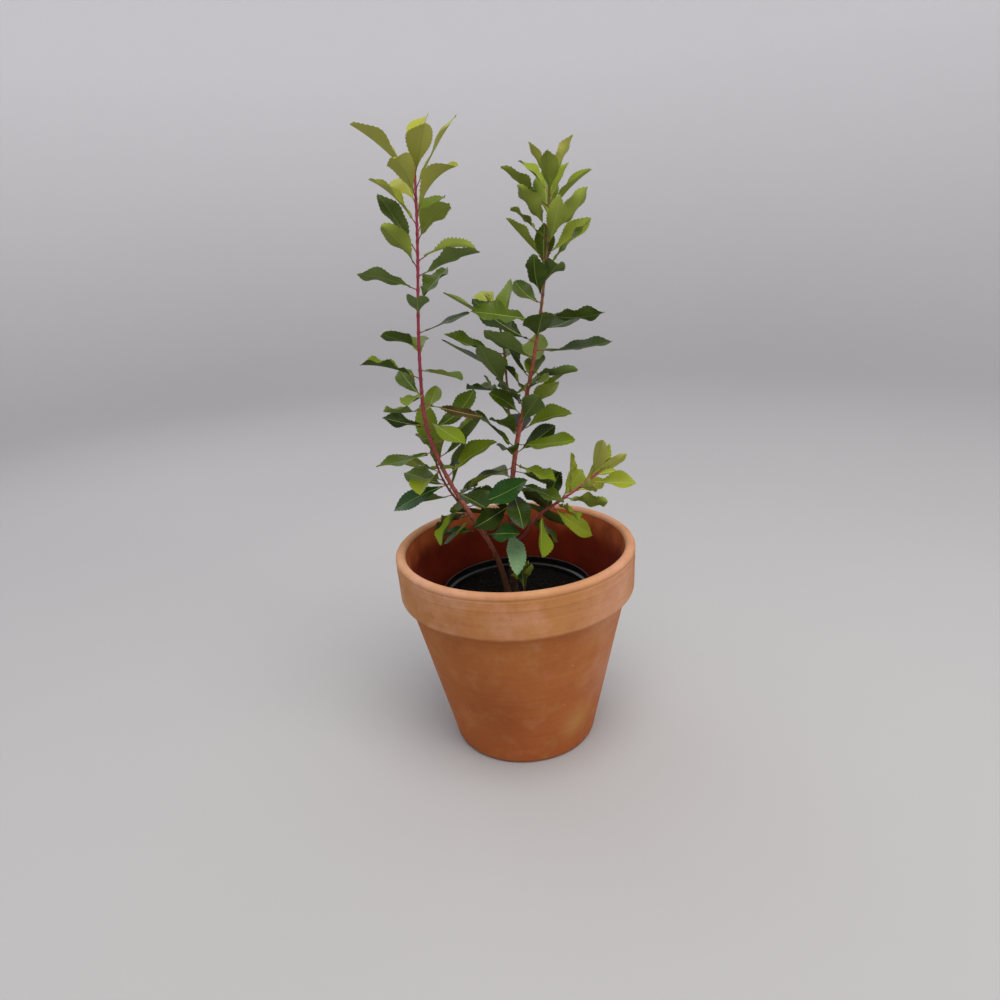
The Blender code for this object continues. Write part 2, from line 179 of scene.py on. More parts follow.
def makeCamera():
    view = cameraView
    down, yaw, roll = (math.radians(view[key]) for key in ("lookDown", "yaw", "roll"))
    ahead = Vector((math.sin(yaw) * math.cos(down), math.cos(yaw) * math.cos(down),
                    -math.sin(down)))
    level = ahead.cross(Vector((0, 0, 1))).normalized()
    above = level.cross(ahead)
    right = level * math.cos(roll) + above * math.sin(roll)
    up = above * math.cos(roll) - level * math.sin(roll)
    turned = Matrix((right, up, -ahead)).transposed().to_4x4()
    lens = bpy.data.cameras.new("camera")
    lens.lens = view["lens"]
    lens.sensor_width = view["sensor"]
    lens.clip_start = 0.02
    camera = bpy.data.objects.new("camera", lens)
    camera.matrix_world = Matrix.Translation(view["place"]) @ turned
    bpy.context.scene.collection.objects.link(camera)
    bpy.context.scene.camera = camera


studio = {
    "floorRadius": 2.6, "sweep": 1.6, "wallTop": 2.6, "sides": 96,
    "floorColour": "AEADAD", "floorCloud": "A8A7A7", "wallColour": "E2E1E3",
    "worldColour": "DADADF", "worldStrength": 1.1,
    "lamps": (  # place, size, power, colour
        ((0.35, -1.0, 3.0), 2.0, 58, "FFFBF4"),
        ((1.7, -1.5, 1.3), 1.4, 12, "FFFDFA"),
        ((-1.3, 1.6, 1.6), 1.4, 6, "F4F7FF"),
    ),
    "lampAim": (0.0, 0.0, 0.35),
}


def makeFloor():
    # A round floor that sweeps up into its own wall, so that no horizon shows
    material, tree, shader = newMaterial("studioFloorPaint", {"Roughness": 0.85})
    coordinates = addNode(tree, "ShaderNodeTexCoord").outputs["Object"]
    cloud = addNode(tree, "ShaderNodeTexNoise", None,
                    {"Vector": coordinates, "Scale": 1 / 0.9, "Detail": 3.0})
    shade = addNode(tree, "ShaderNodeMixRGB", None,
                    {"Fac": cloud.outputs[0], "Color1": hexColour(studio["floorColour"]),
                     "Color2": hexColour(studio["floorCloud"])})
    height = addNode(tree, "ShaderNodeSeparateXYZ", None, {0: coordinates}).outputs
    rising = addNode(tree, "ShaderNodeMapRange", None,
                     {"Value": height["Z"], "From Min": 0.0, "From Max": studio["sweep"]})
    shade = addNode(tree, "ShaderNodeMixRGB", None,
                    {"Fac": rising.outputs[0], "Color1": shade.outputs[0],
                     "Color2": hexColour(studio["wallColour"])})
    tree.links.new(shade.outputs[0], shader.inputs["Base Color"])
    reach, sweep, sides = studio["floorRadius"], studio["sweep"], studio["sides"]
    profile = [(reach * share, 0.0) for share in (0.25, 0.5, 0.75, 1.0)]
    profile += arcPoints((reach, sweep), sweep, -90, 0, 16)[1:]
    profile.append((reach + sweep, studio["wallTop"]))
    points = [(0, 0, 0)]
    for radius, height in profile:
        points += [(radius * math.cos(2 * math.pi * side / sides),
                    radius * math.sin(2 * math.pi * side / sides), height)
                   for side in range(sides)]
    faces = [(0, 1 + side, 1 + (side + 1) % sides) for side in range(sides)]
    for ring in range(len(profile) - 1):
        low = 1 + ring * sides
        faces += [(low + side, low + sides + side, low + sides + (side + 1) % sides,
                   low + (side + 1) % sides) for side in range(sides)]
    floor = newMeshObject("floor", points, faces, [material])
    floor.data.shade_smooth()


def makeLight():
    world = bpy.data.worlds.new("studio")
    bpy.context.scene.world = world
    world.use_nodes = True
    background = world.node_tree.nodes["Background"]
    background.inputs["Color"].default_value = hexColour(studio["worldColour"])
    background.inputs["Strength"].default_value = studio["worldStrength"]
    for number, (place, size, power, colour) in enumerate(studio["lamps"]):
        lamp = bpy.data.lights.new(f"softbox{number}", "AREA")
        lamp.shape = "DISK"
        lamp.size = size
        lamp.energy = power
        lamp.color = hexColour(colour)[:3]
        holder = bpy.data.objects.new(lamp.name, lamp)
        holder.location = place
        aim = Vector(studio["lampAim"]) - Vector(place)
        holder.rotation_euler = aim.to_track_quat("-Z", "Y").to_euler()
        bpy.context.scene.collection.objects.link(holder)
    bpy.context.scene.view_settings.view_transform = "Standard"


makeCamera()
makeFloor()
makeLight()
print("camera, floor and light are set")


# Turned pots

def fineProfile(profile, longest):
    # Adds points so that no stretch of a profile is longer than this
    fine = [profile[0]]
    for here, there in zip(profile, profile[1:]):
        count = max(1, math.ceil(math.dist(here, there) / longest))
        fine += [(here[0] + (there[0] - here[0]) * step / count,
                  here[1] + (there[1] - here[1]) * step / count)
                 for step in range(1, count + 1)]
    return fine


def turnedPiece(name, profile, steps, relief, materials, insideEnd=0):
    # A closed turned shell. The profile runs from the axis over the top and down the outer
    # side. Faces before profile point insideEnd take the second material.
    points = [(0, 0, profile[0][1])]
    for radius, height in profile[1:-1]:
        for step in range(steps):
            angle = 2 * math.pi * step / steps
            reach = radius + relief(angle, radius, height)
            points.append((reach * math.cos(angle), reach * math.sin(angle), height))
    points.append((0, 0, profile[-1][1]))
    rings = len(profile) - 2
    faces = []
    for step in range(steps):
        follow = (step + 1) % steps
        faces.append((0, 1 + step, 1 + follow))
    for ring in range(rings - 1):
        low = 1 + ring * steps
        for step in range(steps):
            follow = (step + 1) % steps
            faces.append((low + step, low + steps + step, low + steps + follow, low + follow))
    last = 1 + (rings - 1) * steps
    for step in range(steps):
        faces.append((last + step, len(points) - 1, last + (step + 1) % steps))
    piece = newMeshObject(name, points, faces, materials)
    piece.data.shade_smooth()
    piece.data.polygons.foreach_set(
        "material_index",
        [1 if index < insideEnd * steps else 0 for index in range(len(faces))])
    return piece


terracottaPot = {
    "height": 0.264, "rim": 0.150, "rimInner": 0.1375, "bandHeight": 0.060,
    "bandFoot": 0.1484, "bodyTop": 0.1388, "bodyBase": 0.0924, "wall": 0.0115,
    "floor": 0.014, "lipRound": 0.0055, "bandFootRound": 0.006, "baseRound": 0.006,
    "steps": 176, "finest": 0.0011, "coarsest": 0.004,
    "groove": (0.0080, 0.00055, 0.0011),  # below the top, depth, half width
    "ridge": (0.0195, 0.00030, 0.0012),
    "unevenness": 0.00035, "turningLines": 0.00010,
}


def terracottaProfile():
    pot = terracottaPot
    bandFoot = pot["height"] - pot["bandHeight"]
    slope = (pot["bodyTop"] - pot["bodyBase"]) / bandFoot
    floorRadius = pot["bodyBase"] + slope * pot["floor"] - pot["wall"]
    lip = pot["lipRound"]
    lipHeight = pot["height"] - lip
    inside = fineProfile([(0, pot["floor"]), (floorRadius, pot["floor"]),
                          (pot["rimInner"], lipHeight)], pot["coarsest"])
    lipArcs = arcPoints((pot["rimInner"] + lip, lipHeight), lip, 170, 90, 7)
    lipArcs += arcPoints((pot["rim"] - lip, lipHeight), lip, 90, 0, 8)
    footRound = pot["bandFootRound"]
    foot = arcPoints((pot["bandFoot"] - footRound, bandFoot + footRound), footRound, 0, -90, 6)
    band = fineProfile([lipArcs[-1], foot[0]], pot["finest"])[1:-1]
    baseRound = pot["baseRound"]
    base = arcPoints((pot["bodyBase"] + slope * baseRound - baseRound, baseRound), baseRound,
                     0, -90, 6)
    body = fineProfile([(pot["bodyTop"], bandFoot), base[0]], pot["coarsest"] / 2)[:-1]
    under = fineProfile([base[-1], (0, 0)], pot["coarsest"] * 3)[1:]
    return inside + lipArcs + band + foot + body + base + under, len(inside)


def terracottaRelief(angle, radius, height):
    # Shallow grooves below the lip, fine turning lines and slightly uneven clay
    pot = terracottaPot
    place = Vector((math.cos(angle), math.sin(angle), height / 0.12))
    offset = pot["unevenness"] * (noise.noise(place * 1.7) - 0.5)
    offset += pot["turningLines"] * noise.noise(Vector((height / 0.0045, angle * 0.4, 7.0)))
    onBand = radius > pot["bandFoot"] - pot["wall"] / 4
    if onBand:
        below = pot["height"] - height
        centre, depth, half = pot["groove"]
        offset -= depth * math.exp(-((below - centre) / half) ** 2)
        centre, lift, half = pot["ridge"]
        offset += lift * math.exp(-((below - centre) / half) ** 2)
    resting = height < 0.001
    return 0.0 if resting else offset


terracottaLook = {
    # Painted shade: low is the darker colour the body takes toward its base
    "band": "B47A48", "bandPale": "D29E84", "body": "AE6834", "low": "A65826",
    # Painted highlight: lip is the paler colour along the top of the rim
    "rustRedAndShade": "8E4620", "ochre": "BA884A", "lip": "C69C80",
    "speckDark": "5A3420", "speckPale": "E0C0A4",
    # Painted shade: the inside colours run from the rim colour down to a dark red shade deep in
    # the pot
    "insideTop": "AC562C", "insideDeepShade": "6A1E08",
    "grain": 0.0009, "mottle": 0.045, "lineSpacing": 0.0035, "speckSpacing": 0.0075,
    "patches": (  # colour, centre, reach, strongest share
        # Partly painted shade: this darker rust-red patch low on the front left is both a clay
        # blotch and painted shade; the same colour also makes the clay's own random rust-red
        # mottling
        ("rustRedAndShade", (-0.035, -0.105, 0.085), 0.075, 0.60),
        # Painted light: this pale patch on the band and the one on the body below stand for the
        # brighter lit right side
        ("bandPale", (0.115, -0.090, 0.225), 0.085, 0.55),
        ("ochre", (0.065, -0.085, 0.050), 0.045, 0.60),
        ("bandPale", (0.125, -0.060, 0.110), 0.085, 0.45),
    ),
}


def makeTerracotta():
    # Unglazed fired earthenware: dry, matt and chalky, with kiln mottling and fine turning lines
    look = terracottaLook
    pot = terracottaPot
    material, tree, shader = newMaterial("firedTerracotta", {"Roughness": 0.86,
                                                             "Specular IOR Level": 0.3})
    place = addNode(tree, "ShaderNodeTexCoord").outputs["Object"]
    height = addNode(tree, "ShaderNodeSeparateXYZ", None, {0: place}).outputs
    bandFoot = pot["height"] - pot["bandHeight"]
    # Painted shade: the body darkens from three quarters of its height down to the low colour at
    # the base
    rising = addNode(tree, "ShaderNodeMapRange", None,
                     {"Value": height["Z"], "From Min": 0.0, "From Max": bandFoot * 0.75})
    body = addNode(tree, "ShaderNodeMixRGB", None,
                   {"Fac": rising.outputs[0], "Color1": hexColour(look["low"]),
                    "Color2": hexColour(look["body"])})
    onBand = addNode(tree, "ShaderNodeMapRange", {"interpolation_type": "SMOOTHSTEP"},
                     {"Value": height["Z"], "From Min": bandFoot + 0.0005,
                      "From Max": bandFoot + 0.006})
    clay = addNode(tree, "ShaderNodeMixRGB", None,
                   {"Fac": onBand.outputs[0], "Color1": body.outputs[0],
                    "Color2": hexColour(look["band"])})
    bloomNoise = addNode(tree, "ShaderNodeTexNoise", None,
                         {"Vector": place, "Scale": 1 / 0.07, "Detail": 5.0, "Roughness": 0.6})
    bloomSpot = addNode(tree, "ShaderNodeMapRange", None,
                        {"Value": bloomNoise.outputs[0], "From Min": 0.46, "From Max": 0.70,
                         "To Max": 0.75})
    bloomMask = addNode(tree, "ShaderNodeMath", {"operation": "MULTIPLY"},
                        {0: bloomSpot.outputs[0], 1: onBand.outputs[0]})
    clay = addNode(tree, "ShaderNodeMixRGB", None,
                   {"Fac": bloomMask.outputs[0], "Color1": clay.outputs[0],
                    "Color2": hexColour(look["bandPale"])})
    # Painted highlight: the top ten millimetres of the lip turn toward the paler lip colour
    lipHighlight = addNode(tree, "ShaderNodeMapRange", {"interpolation_type": "SMOOTHSTEP"},
                    {"Value": height["Z"], "From Min": pot["height"] - 0.010,
                     "From Max": pot["height"] - 0.001, "To Max": 0.35})
    clay = addNode(tree, "ShaderNodeMixRGB", None,
                   {"Fac": lipHighlight.outputs[0], "Color1": clay.outputs[0],
                    "Color2": hexColour(look["lip"])})
    # Placed patches: the pale ones on the front right are painted light, the rust-red one low on
    # the front left is partly painted shade, and the ochre one is the clay's own tone
    for colour, centre, reach, most in look["patches"]:
        apart = addNode(tree, "ShaderNodeVectorMath", {"operation": "DISTANCE"},
                        {0: place, 1: centre})
        ragged = addNode(tree, "ShaderNodeMath", {"operation": "MULTIPLY_ADD"},
                         {0: bloomNoise.outputs[0], 1: reach * 0.9, 2: apart.outputs["Value"]})
        amount = addNode(tree, "ShaderNodeMapRange", {"interpolation_type": "SMOOTHSTEP"},
                         {"Value": ragged.outputs[0], "From Min": reach * 0.5,
                          "From Max": reach * 1.4, "To Min": most, "To Max": 0.0})
        clay = addNode(tree, "ShaderNodeMixRGB", None,
                       {"Fac": amount.outputs[0], "Color1": clay.outputs[0],
                        "Color2": hexColour(look[colour])})
    for colour, size, seed, low, high, most in (
            ("rustRedAndShade", look["mottle"] * 1.9, 3.1, 0.46, 0.72, 0.45),
            ("ochre", look["mottle"] * 0.8, 8.4, 0.50, 0.72, 0.40),
            ("bandPale", look["mottle"] * 0.7, 5.2, 0.55, 0.80, 0.20),
            ("rustRedAndShade", look["mottle"] * 0.16, 1.7, 0.55, 0.75, 0.20)):
        blotch = addNode(tree, "ShaderNodeTexNoise", {"noise_dimensions": "4D"},
                         {"Vector": place, "W": seed, "Scale": 1 / size, "Detail": 6.0,
                          "Roughness": 0.62})
        amount = addNode(tree, "ShaderNodeMapRange", None,
                         {"Value": blotch.outputs[0], "From Min": low, "From Max": high,
                          "To Max": most})
        clay = addNode(tree, "ShaderNodeMixRGB", None,
                       {"Fac": amount.outputs[0], "Color1": clay.outputs[0],
                        "Color2": hexColour(look[colour])})
    stretched = addNode(tree, "ShaderNodeMapping", None,
                        {"Vector": place, "Scale": (6.0, 6.0, 1 / look["lineSpacing"])})
    lines = addNode(tree, "ShaderNodeTexNoise", None,
                    {"Vector": stretched.outputs[0], "Scale": 1.0, "Detail": 2.0})
    lineShade = addNode(tree, "ShaderNodeMapRange", None,
                        {"Value": lines.outputs[0], "From Min": 0.35, "From Max": 0.65,
                         "To Min": 0.965, "To Max": 1.03})
    clay = addNode(tree, "ShaderNodeVectorMath", {"operation": "SCALE"},
                   {0: clay.outputs[0], "Scale": lineShade.outputs[0]})
    for colour, spacing, size, seed, most in (
            ("speckDark", look["speckSpacing"], 0.10, 0.0, 0.85),
            ("speckPale", look["speckSpacing"] * 1.7, 0.07, 0.31, 0.75)):
        shifted = addNode(tree, "ShaderNodeMapping", None,
                          {"Vector": place, "Location": (seed, seed, seed)})
        cells = addNode(tree, "ShaderNodeTexVoronoi", None,
                        {"Vector": shifted.outputs[0], "Scale": 1 / spacing})
        speck = addNode(tree, "ShaderNodeMapRange", None,
                        {"Value": cells.outputs["Distance"], "From Min": size,
                         "From Max": size * 0.6, "To Max": most})
        cellPick = addNode(tree, "ShaderNodeSeparateColor", None, {0: cells.outputs["Color"]})
        rare = addNode(tree, "ShaderNodeMath", {"operation": "GREATER_THAN"},
                       {0: cellPick.outputs[0], 1: 0.72})
        amount = addNode(tree, "ShaderNodeMath", {"operation": "MULTIPLY"},
                         {0: speck.outputs[0], 1: rare.outputs[0]})
        clay = addNode(tree, "ShaderNodeMixRGB", None,
                       {"Fac": amount.outputs[0], "Color1": clay.outputs[0],
                        "Color2": hexColour(look[colour])})
    tree.links.new(clay.outputs[0], shader.inputs["Base Color"])
    grain = addNode(tree, "ShaderNodeTexNoise", None,
                    {"Vector": place, "Scale": 1 / look["grain"], "Detail": 3.0})
    fineBump = addNode(tree, "ShaderNodeBump", None,
                       {"Strength": 0.35, "Distance": 0.15 * millimetre,
                        "Height": grain.outputs[0]})
    lineBump = addNode(tree, "ShaderNodeBump", None,
                       {"Strength": 0.5, "Distance": 0.25 * millimetre,
                        "Height": lines.outputs[0], "Normal": fineBump.outputs[0]})
    tree.links.new(lineBump.outputs[0], shader.inputs["Normal"])
    return material


def makeShadedInsideTerracotta():
    # The same clay on the inside, with painted shade: darker and redder further down the wall
    look = terracottaLook
    pot = terracottaPot
    material, tree, shader = newMaterial("shadedInsideTerracotta", {"Roughness": 0.85,
                                                            "Specular IOR Level": 0.15})
    place = addNode(tree, "ShaderNodeTexCoord").outputs["Object"]
    height = addNode(tree, "ShaderNodeSeparateXYZ", None, {0: place}).outputs
    cloud = addNode(tree, "ShaderNodeTexNoise", None,
                    {"Vector": place, "Scale": 1 / 0.03, "Detail": 5.0})
    ragged = addNode(tree, "ShaderNodeMath", {"operation": "MULTIPLY_ADD"},
                     {0: cloud.outputs[0], 1: 0.02, 2: height["Z"]})
    # Painted shade: the inner wall darkens toward the deep colour further below the rim
    shadeDownWall = addNode(tree, "ShaderNodeMapRange", {"interpolation_type": "SMOOTHSTEP"},
                     {"Value": ragged.outputs[0], "From Min": pot["height"] - 0.030,
                      "From Max": pot["height"] + 0.004})
    clay = addNode(tree, "ShaderNodeMixRGB", None,
                   {"Fac": shadeDownWall.outputs[0], "Color1": hexColour(look["insideDeepShade"]),
                    "Color2": hexColour(look["insideTop"])})
    blotch = addNode(tree, "ShaderNodeMapRange", None,
                     {"Value": cloud.outputs[0], "From Min": 0.35, "From Max": 0.7,
                      "To Min": 0.8, "To Max": 1.2})
    clay = addNode(tree, "ShaderNodeVectorMath", {"operation": "SCALE"},
                   {0: clay.outputs[0], "Scale": blotch.outputs[0]})
    tree.links.new(clay.outputs[0], shader.inputs["Base Color"])
    grain = addNode(tree, "ShaderNodeTexNoise", None,
                    {"Vector": place, "Scale": 1 / look["grain"], "Detail": 3.0})
    bump = addNode(tree, "ShaderNodeBump", None,
                   {"Strength": 0.4, "Distance": 0.2 * millimetre, "Height": grain.outputs[0]})
    tree.links.new(bump.outputs[0], shader.inputs["Normal"])
    return material


def makeTerracottaPot():
    profile, insideEnd = terracottaProfile()
    piece = turnedPiece("terracottaPotShell", profile, terracottaPot["steps"],
                        terracottaRelief, [makeTerracotta(), makeShadedInsideTerracotta()], insideEnd)
    piece.data.set_sharp_from_angle(angle=math.radians(50))
    finishPiece(piece, "terracotta", "terracotta_pot")


makeTerracottaPot()
print("terracotta pot is turned")


nurseryPot = {
    "rim": 0.096, "rimHeight": 0.2017, "collar": 0.012, "collarStep": 0.003, "base": 0.070,
    "wall": 0.0014, "foot": 0.0143, "steps": 144, "longest": 0.006, "lipRoll": 0.0007,
    "ribs": 0.00012, "colour": "0B0B0C", "dust": "45423C",
}


def nurseryProfile():
    pot = nurseryPot
    wall, foot = pot["wall"], pot["foot"]
    collarFoot = pot["rimHeight"] - pot["collar"]
    wallTop = pot["rim"] - pot["collarStep"]
    roll = pot["lipRoll"]
    profile = [(0, foot + wall), (pot["base"] - wall, foot + wall),
               (wallTop - wall, collarFoot + wall),
               (pot["rim"] - wall, collarFoot + pot["collarStep"])]
    profile += arcPoints((pot["rim"] - roll, pot["rimHeight"] - roll), roll, 180, 0, 8)
    profile += [(pot["rim"], collarFoot + wall), (wallTop, collarFoot - wall),
                (pot["base"], foot), (0, foot)]
    return fineProfile(profile, pot["longest"])


def makeBlackPlastic():
    # Thermoformed polypropylene: black with a soft sheen, and dust on what faces up
    material, tree, shader = newMaterial("blackPolypropylene", {"IOR": 1.49})
    place = addNode(tree, "ShaderNodeTexCoord").outputs["Object"]
    facing = addNode(tree, "ShaderNodeSeparateXYZ", None,
                     {0: addNode(tree, "ShaderNodeNewGeometry").outputs["Normal"]}).outputs
    cloud = addNode(tree, "ShaderNodeTexNoise", None,
                    {"Vector": place, "Scale": 1 / 0.008, "Detail": 6.0, "Roughness": 0.7})
    upward = addNode(tree, "ShaderNodeMapRange", None,
                     {"Value": facing["Z"], "From Min": 0.2, "From Max": 0.95,
                      "To Min": 0.06, "To Max": 0.75})
    spotted = addNode(tree, "ShaderNodeMapRange", None,
                      {"Value": cloud.outputs[0], "From Min": 0.42, "From Max": 0.62})
    dust = addNode(tree, "ShaderNodeMath", {"operation": "MULTIPLY"},
                   {0: upward.outputs[0], 1: spotted.outputs[0]})
    shade = addNode(tree, "ShaderNodeMixRGB", None,
                    {"Fac": dust.outputs[0], "Color1": hexColour(nurseryPot["colour"]),
                     "Color2": hexColour(nurseryPot["dust"])})
    rough = addNode(tree, "ShaderNodeMapRange", None,
                    {"Value": cloud.outputs[0], "From Min": 0.3, "From Max": 0.7,
                     "To Min": 0.28, "To Max": 0.5})
    bump = addNode(tree, "ShaderNodeBump", None,
                   {"Strength": 0.2, "Distance": 0.1 * millimetre, "Height": cloud.outputs[0]})
    tree.links.new(shade.outputs[0], shader.inputs["Base Color"])
    tree.links.new(rough.outputs[0], shader.inputs["Roughness"])
    tree.links.new(bump.outputs[0], shader.inputs["Normal"])
    return material


def makeNurseryPot():
    def relief(angle, radius, height):
        return nurseryPot["ribs"] * math.sin(height / 0.0016)
    piece = turnedPiece("nurseryPotShell", nurseryProfile(), nurseryPot["steps"], relief,
                        [makeBlackPlastic()])
    piece.data.set_sharp_from_angle(angle=math.radians(40))
    finishPiece(piece, "black_plastic", "nursery_pot")


makeNurseryPot()
print("nursery pot is turned")


# Potting soil

soil = {
    "height": 0.190, "edgeDrop": 0.004, "edge": 0.0895, "foot": 0.0166, "base": 0.0676,
    "steps": 150, "rings": 52, "lump": 0.0016, "lumpSize": 0.010, "crumbSize": 0.0028,
    "colour": "0E0B08", "crumbColour": "17110B", "gritColour": "6A655C",
    "crumbs": (0.0007, 0.0019, 62000, 5), "grit": (0.0005, 0.0011, 1800, 9),
}


def makeSoilFinish(name, colour, size):
    # Composted bark and peat: near black, crumbly and quite without shine
    material, tree, shader = newMaterial(name, {"Roughness": 0.95, "Specular IOR Level": 0.12})
    place = addNode(tree, "ShaderNodeTexCoord").outputs["Object"]
    cloud = addNode(tree, "ShaderNodeTexNoise", None,
                    {"Vector": place, "Scale": 1 / size, "Detail": 6.0, "Roughness": 0.7})
    level = addNode(tree, "ShaderNodeMapRange", None,
                    {"Value": cloud.outputs[0], "From Min": 0.3, "From Max": 0.7,
                     "To Min": 0.55, "To Max": 1.7})
    shade = addNode(tree, "ShaderNodeVectorMath", {"operation": "SCALE"},
                    {0: hexColour(colour)[:3], "Scale": level.outputs[0]})
    bump = addNode(tree, "ShaderNodeBump", None,
                   {"Strength": 0.8, "Distance": 0.6 * millimetre, "Height": cloud.outputs[0]})
    tree.links.new(shade.outputs[0], shader.inputs["Base Color"])
    tree.links.new(bump.outputs[0], shader.inputs["Normal"])
    return material


def crumbTree():
    tree, given = newGeometryTree("scatterCrumbs", (
        ("Smallest", "NodeSocketFloat"), ("Largest", "NodeSocketFloat"),
        ("Density", "NodeSocketFloat"), ("Seed", "NodeSocketInt"),
        ("Material", "NodeSocketMaterial")))
    normal = addNode(tree, "GeometryNodeInputNormal")
    facing = addNode(tree, "ShaderNodeSeparateXYZ", None, {0: normal.outputs[0]})
    top = addNode(tree, "FunctionNodeCompare", None, {0: facing.outputs["Z"], 1: 0.4})
    spread = addNode(tree, "GeometryNodeDistributePointsOnFaces", None,
                     {"Mesh": given["Geometry"], "Selection": top.outputs[0],
                      "Density": given["Density"], "Seed": given["Seed"]})
    crumb = addNode(tree, "GeometryNodeMeshIcoSphere", None, {"Radius": 1.0, "Subdivisions": 1})
    turn = addNode(tree, "FunctionNodeRandomValue", {"data_type": "FLOAT_VECTOR"},
                   {0: (0.0, 0.0, 0.0), 1: (6.28, 6.28, 6.28), "Seed": given["Seed"]})
    size = addNode(tree, "FunctionNodeRandomValue", None,
                   {2: given["Smallest"], 3: given["Largest"], "Seed": given["Seed"]})
    flat = addNode(tree, "ShaderNodeVectorMath", {"operation": "SCALE"},
                   {0: (1.0, 0.75, 0.5), "Scale": size.outputs["Value"]})
    placed = addNode(tree, "GeometryNodeInstanceOnPoints", None,
                     {"Points": spread.outputs["Points"], "Instance": crumb.outputs["Mesh"],
                      "Rotation": turn.outputs["Value"], "Scale": flat.outputs[0]})
    endGeometryTree(tree, placed.outputs[0], given["Material"])
    return tree


def makeSoil():
    profile = [(0, soil["height"])]
    for ring in range(1, soil["rings"]):
        share = ring / (soil["rings"] - 1)
        profile.append((soil["edge"] * share, soil["height"] - soil["edgeDrop"] * share ** 2))
    profile += [(soil["base"], soil["foot"]), (0, soil["foot"])]
    body = turnedPiece("soilBody", profile, soil["steps"], lambda *place: 0.0,
                       [makeSoilFinish("compost", soil["colour"], soil["crumbSize"])])
    for vertex in body.data.vertices:
        place = vertex.co
        if place.z < soil["height"] - soil["edgeDrop"] * 1.01:
            continue
        rise = noise.fractal(place / soil["lumpSize"], 0.6, 2.1, 4)
        clods = noise.cell(place / soil["crumbSize"]) - 0.5
        place.z += soil["lump"] * rise + 0.0005 * clods
    body.data.shade_smooth()
    finishPiece(body, "potting_soil", "potting_soil")
    tree = crumbTree()
    for name, colour, grown in (("soilCrumbs", soil["crumbColour"], soil["crumbs"]),
                                ("soilGrit", soil["gritColour"], soil["grit"])):
        smallest, largest, density, seed = grown
        source = body.copy()
        source.data = body.data.copy()
        for key in list(source.keys()):
            del source[key]
        source.parent = None
        bpy.context.scene.collection.objects.link(source)
        crumbs = growWithTree(name, source, tree, {
            "Smallest": smallest, "Largest": largest, "Density": float(density), "Seed": seed,
            "Material": makeSoilFinish(name + "Finish", colour, soil["crumbSize"] / 4)})
        finishPiece(crumbs, "potting_soil", "potting_soil")


makeSoil()
print("potting soil is filled and strewn")


# Shoots, by the same rule as the solids. Each bend is the distance along the stem, the lean
# to the right and the lean to the back. Each taper is a distance and the radius there.

shoots = {
    "left_stem": {
        "foot": (-0.0121, -0.0060),
        "bends": ((0, -4, 0), (0.095, -27, -6), (0.155, -26, -4), (0.23, -14, -2),
                  (0.28, 1, 0), (0.40, 6, 0), (0.537, 2, 2)),
        "taper": ((0, 0.0037), (0.08, 0.0031), (0.26, 0.0020), (0.47, 0.0014), (0.537, 0.0010)),
        "flare": 0.0022,
    },
    "centre_stem": {
        "foot": (-0.0036, 0.0062),
        "bends": ((0, -3, 2), (0.13, 6, 2), (0.24, 16, 0), (0.38, 9, -2), (0.496, 3, 0)),
        "taper": ((0, 0.0040), (0.12, 0.0032), (0.215, 0.0025), (0.31, 0.0019), (0.43, 0.0013),
                  (0.496, 0.0010)),
        "flare": 0.0022,
    },
    "left_twig": {
        "parent": ("left_stem", 0.074),
        "bends": ((0, -26, 55), (0.03, -43, 22), (0.08, -35, 10), (0.128, -11, 2)),
        "taper": ((0, 0.0018), (0.128, 0.0010)),
    },
    "middle_branch": {
        "parent": ("centre_stem", 0.215),
        "bends": ((0, -60, 30), (0.02, 0, 20), (0.05, 0, 10), (0.10, -2, 6), (0.155, -22, 4)),
        "taper": ((0, 0.0017), (0.155, 0.0010)),
    },
    "right_branch": {
        "parent": ("centre_stem", 0.066),
        "bends": ((0, 54, -20), (0.03, 27, -14), (0.07, 56, -12), (0.150, 49, -8)),
        "taper": ((0, 0.0021), (0.150, 0.0011)),
    },
    "foot_sprig": {
        "foot": (0.0060, -0.0100),
        "bends": ((0, 12, -30), (0.040, 4, -10)),
        "taper": ((0, 0.0015), (0.040, 0.0009)),
    },
}
growth = {
    "traceStep": 0.001, "flareReach": 0.012, "gap": 0.0003, "divergence": math.radians(137.5),
    "youngReach": 0.026, "youngRise": 62, "youngPitch": 0.36, "youngLeaf": 0.86,
    "firstLeaf": 0.006, "lastLeaf": 0.0015, "turnSpread": 14, "riseSpread": 10,
    "curlSpread": 16, "rollSpread": 24, "twistSpread": 16, "leafSizes": (0.78, 1.18),
    "pitchSizes": (0.7, 1.3), "fallenShare": 0.07, "triedTurns": (0, 14, -14, 28, -28),
    "rootDepth": 0.55,
}
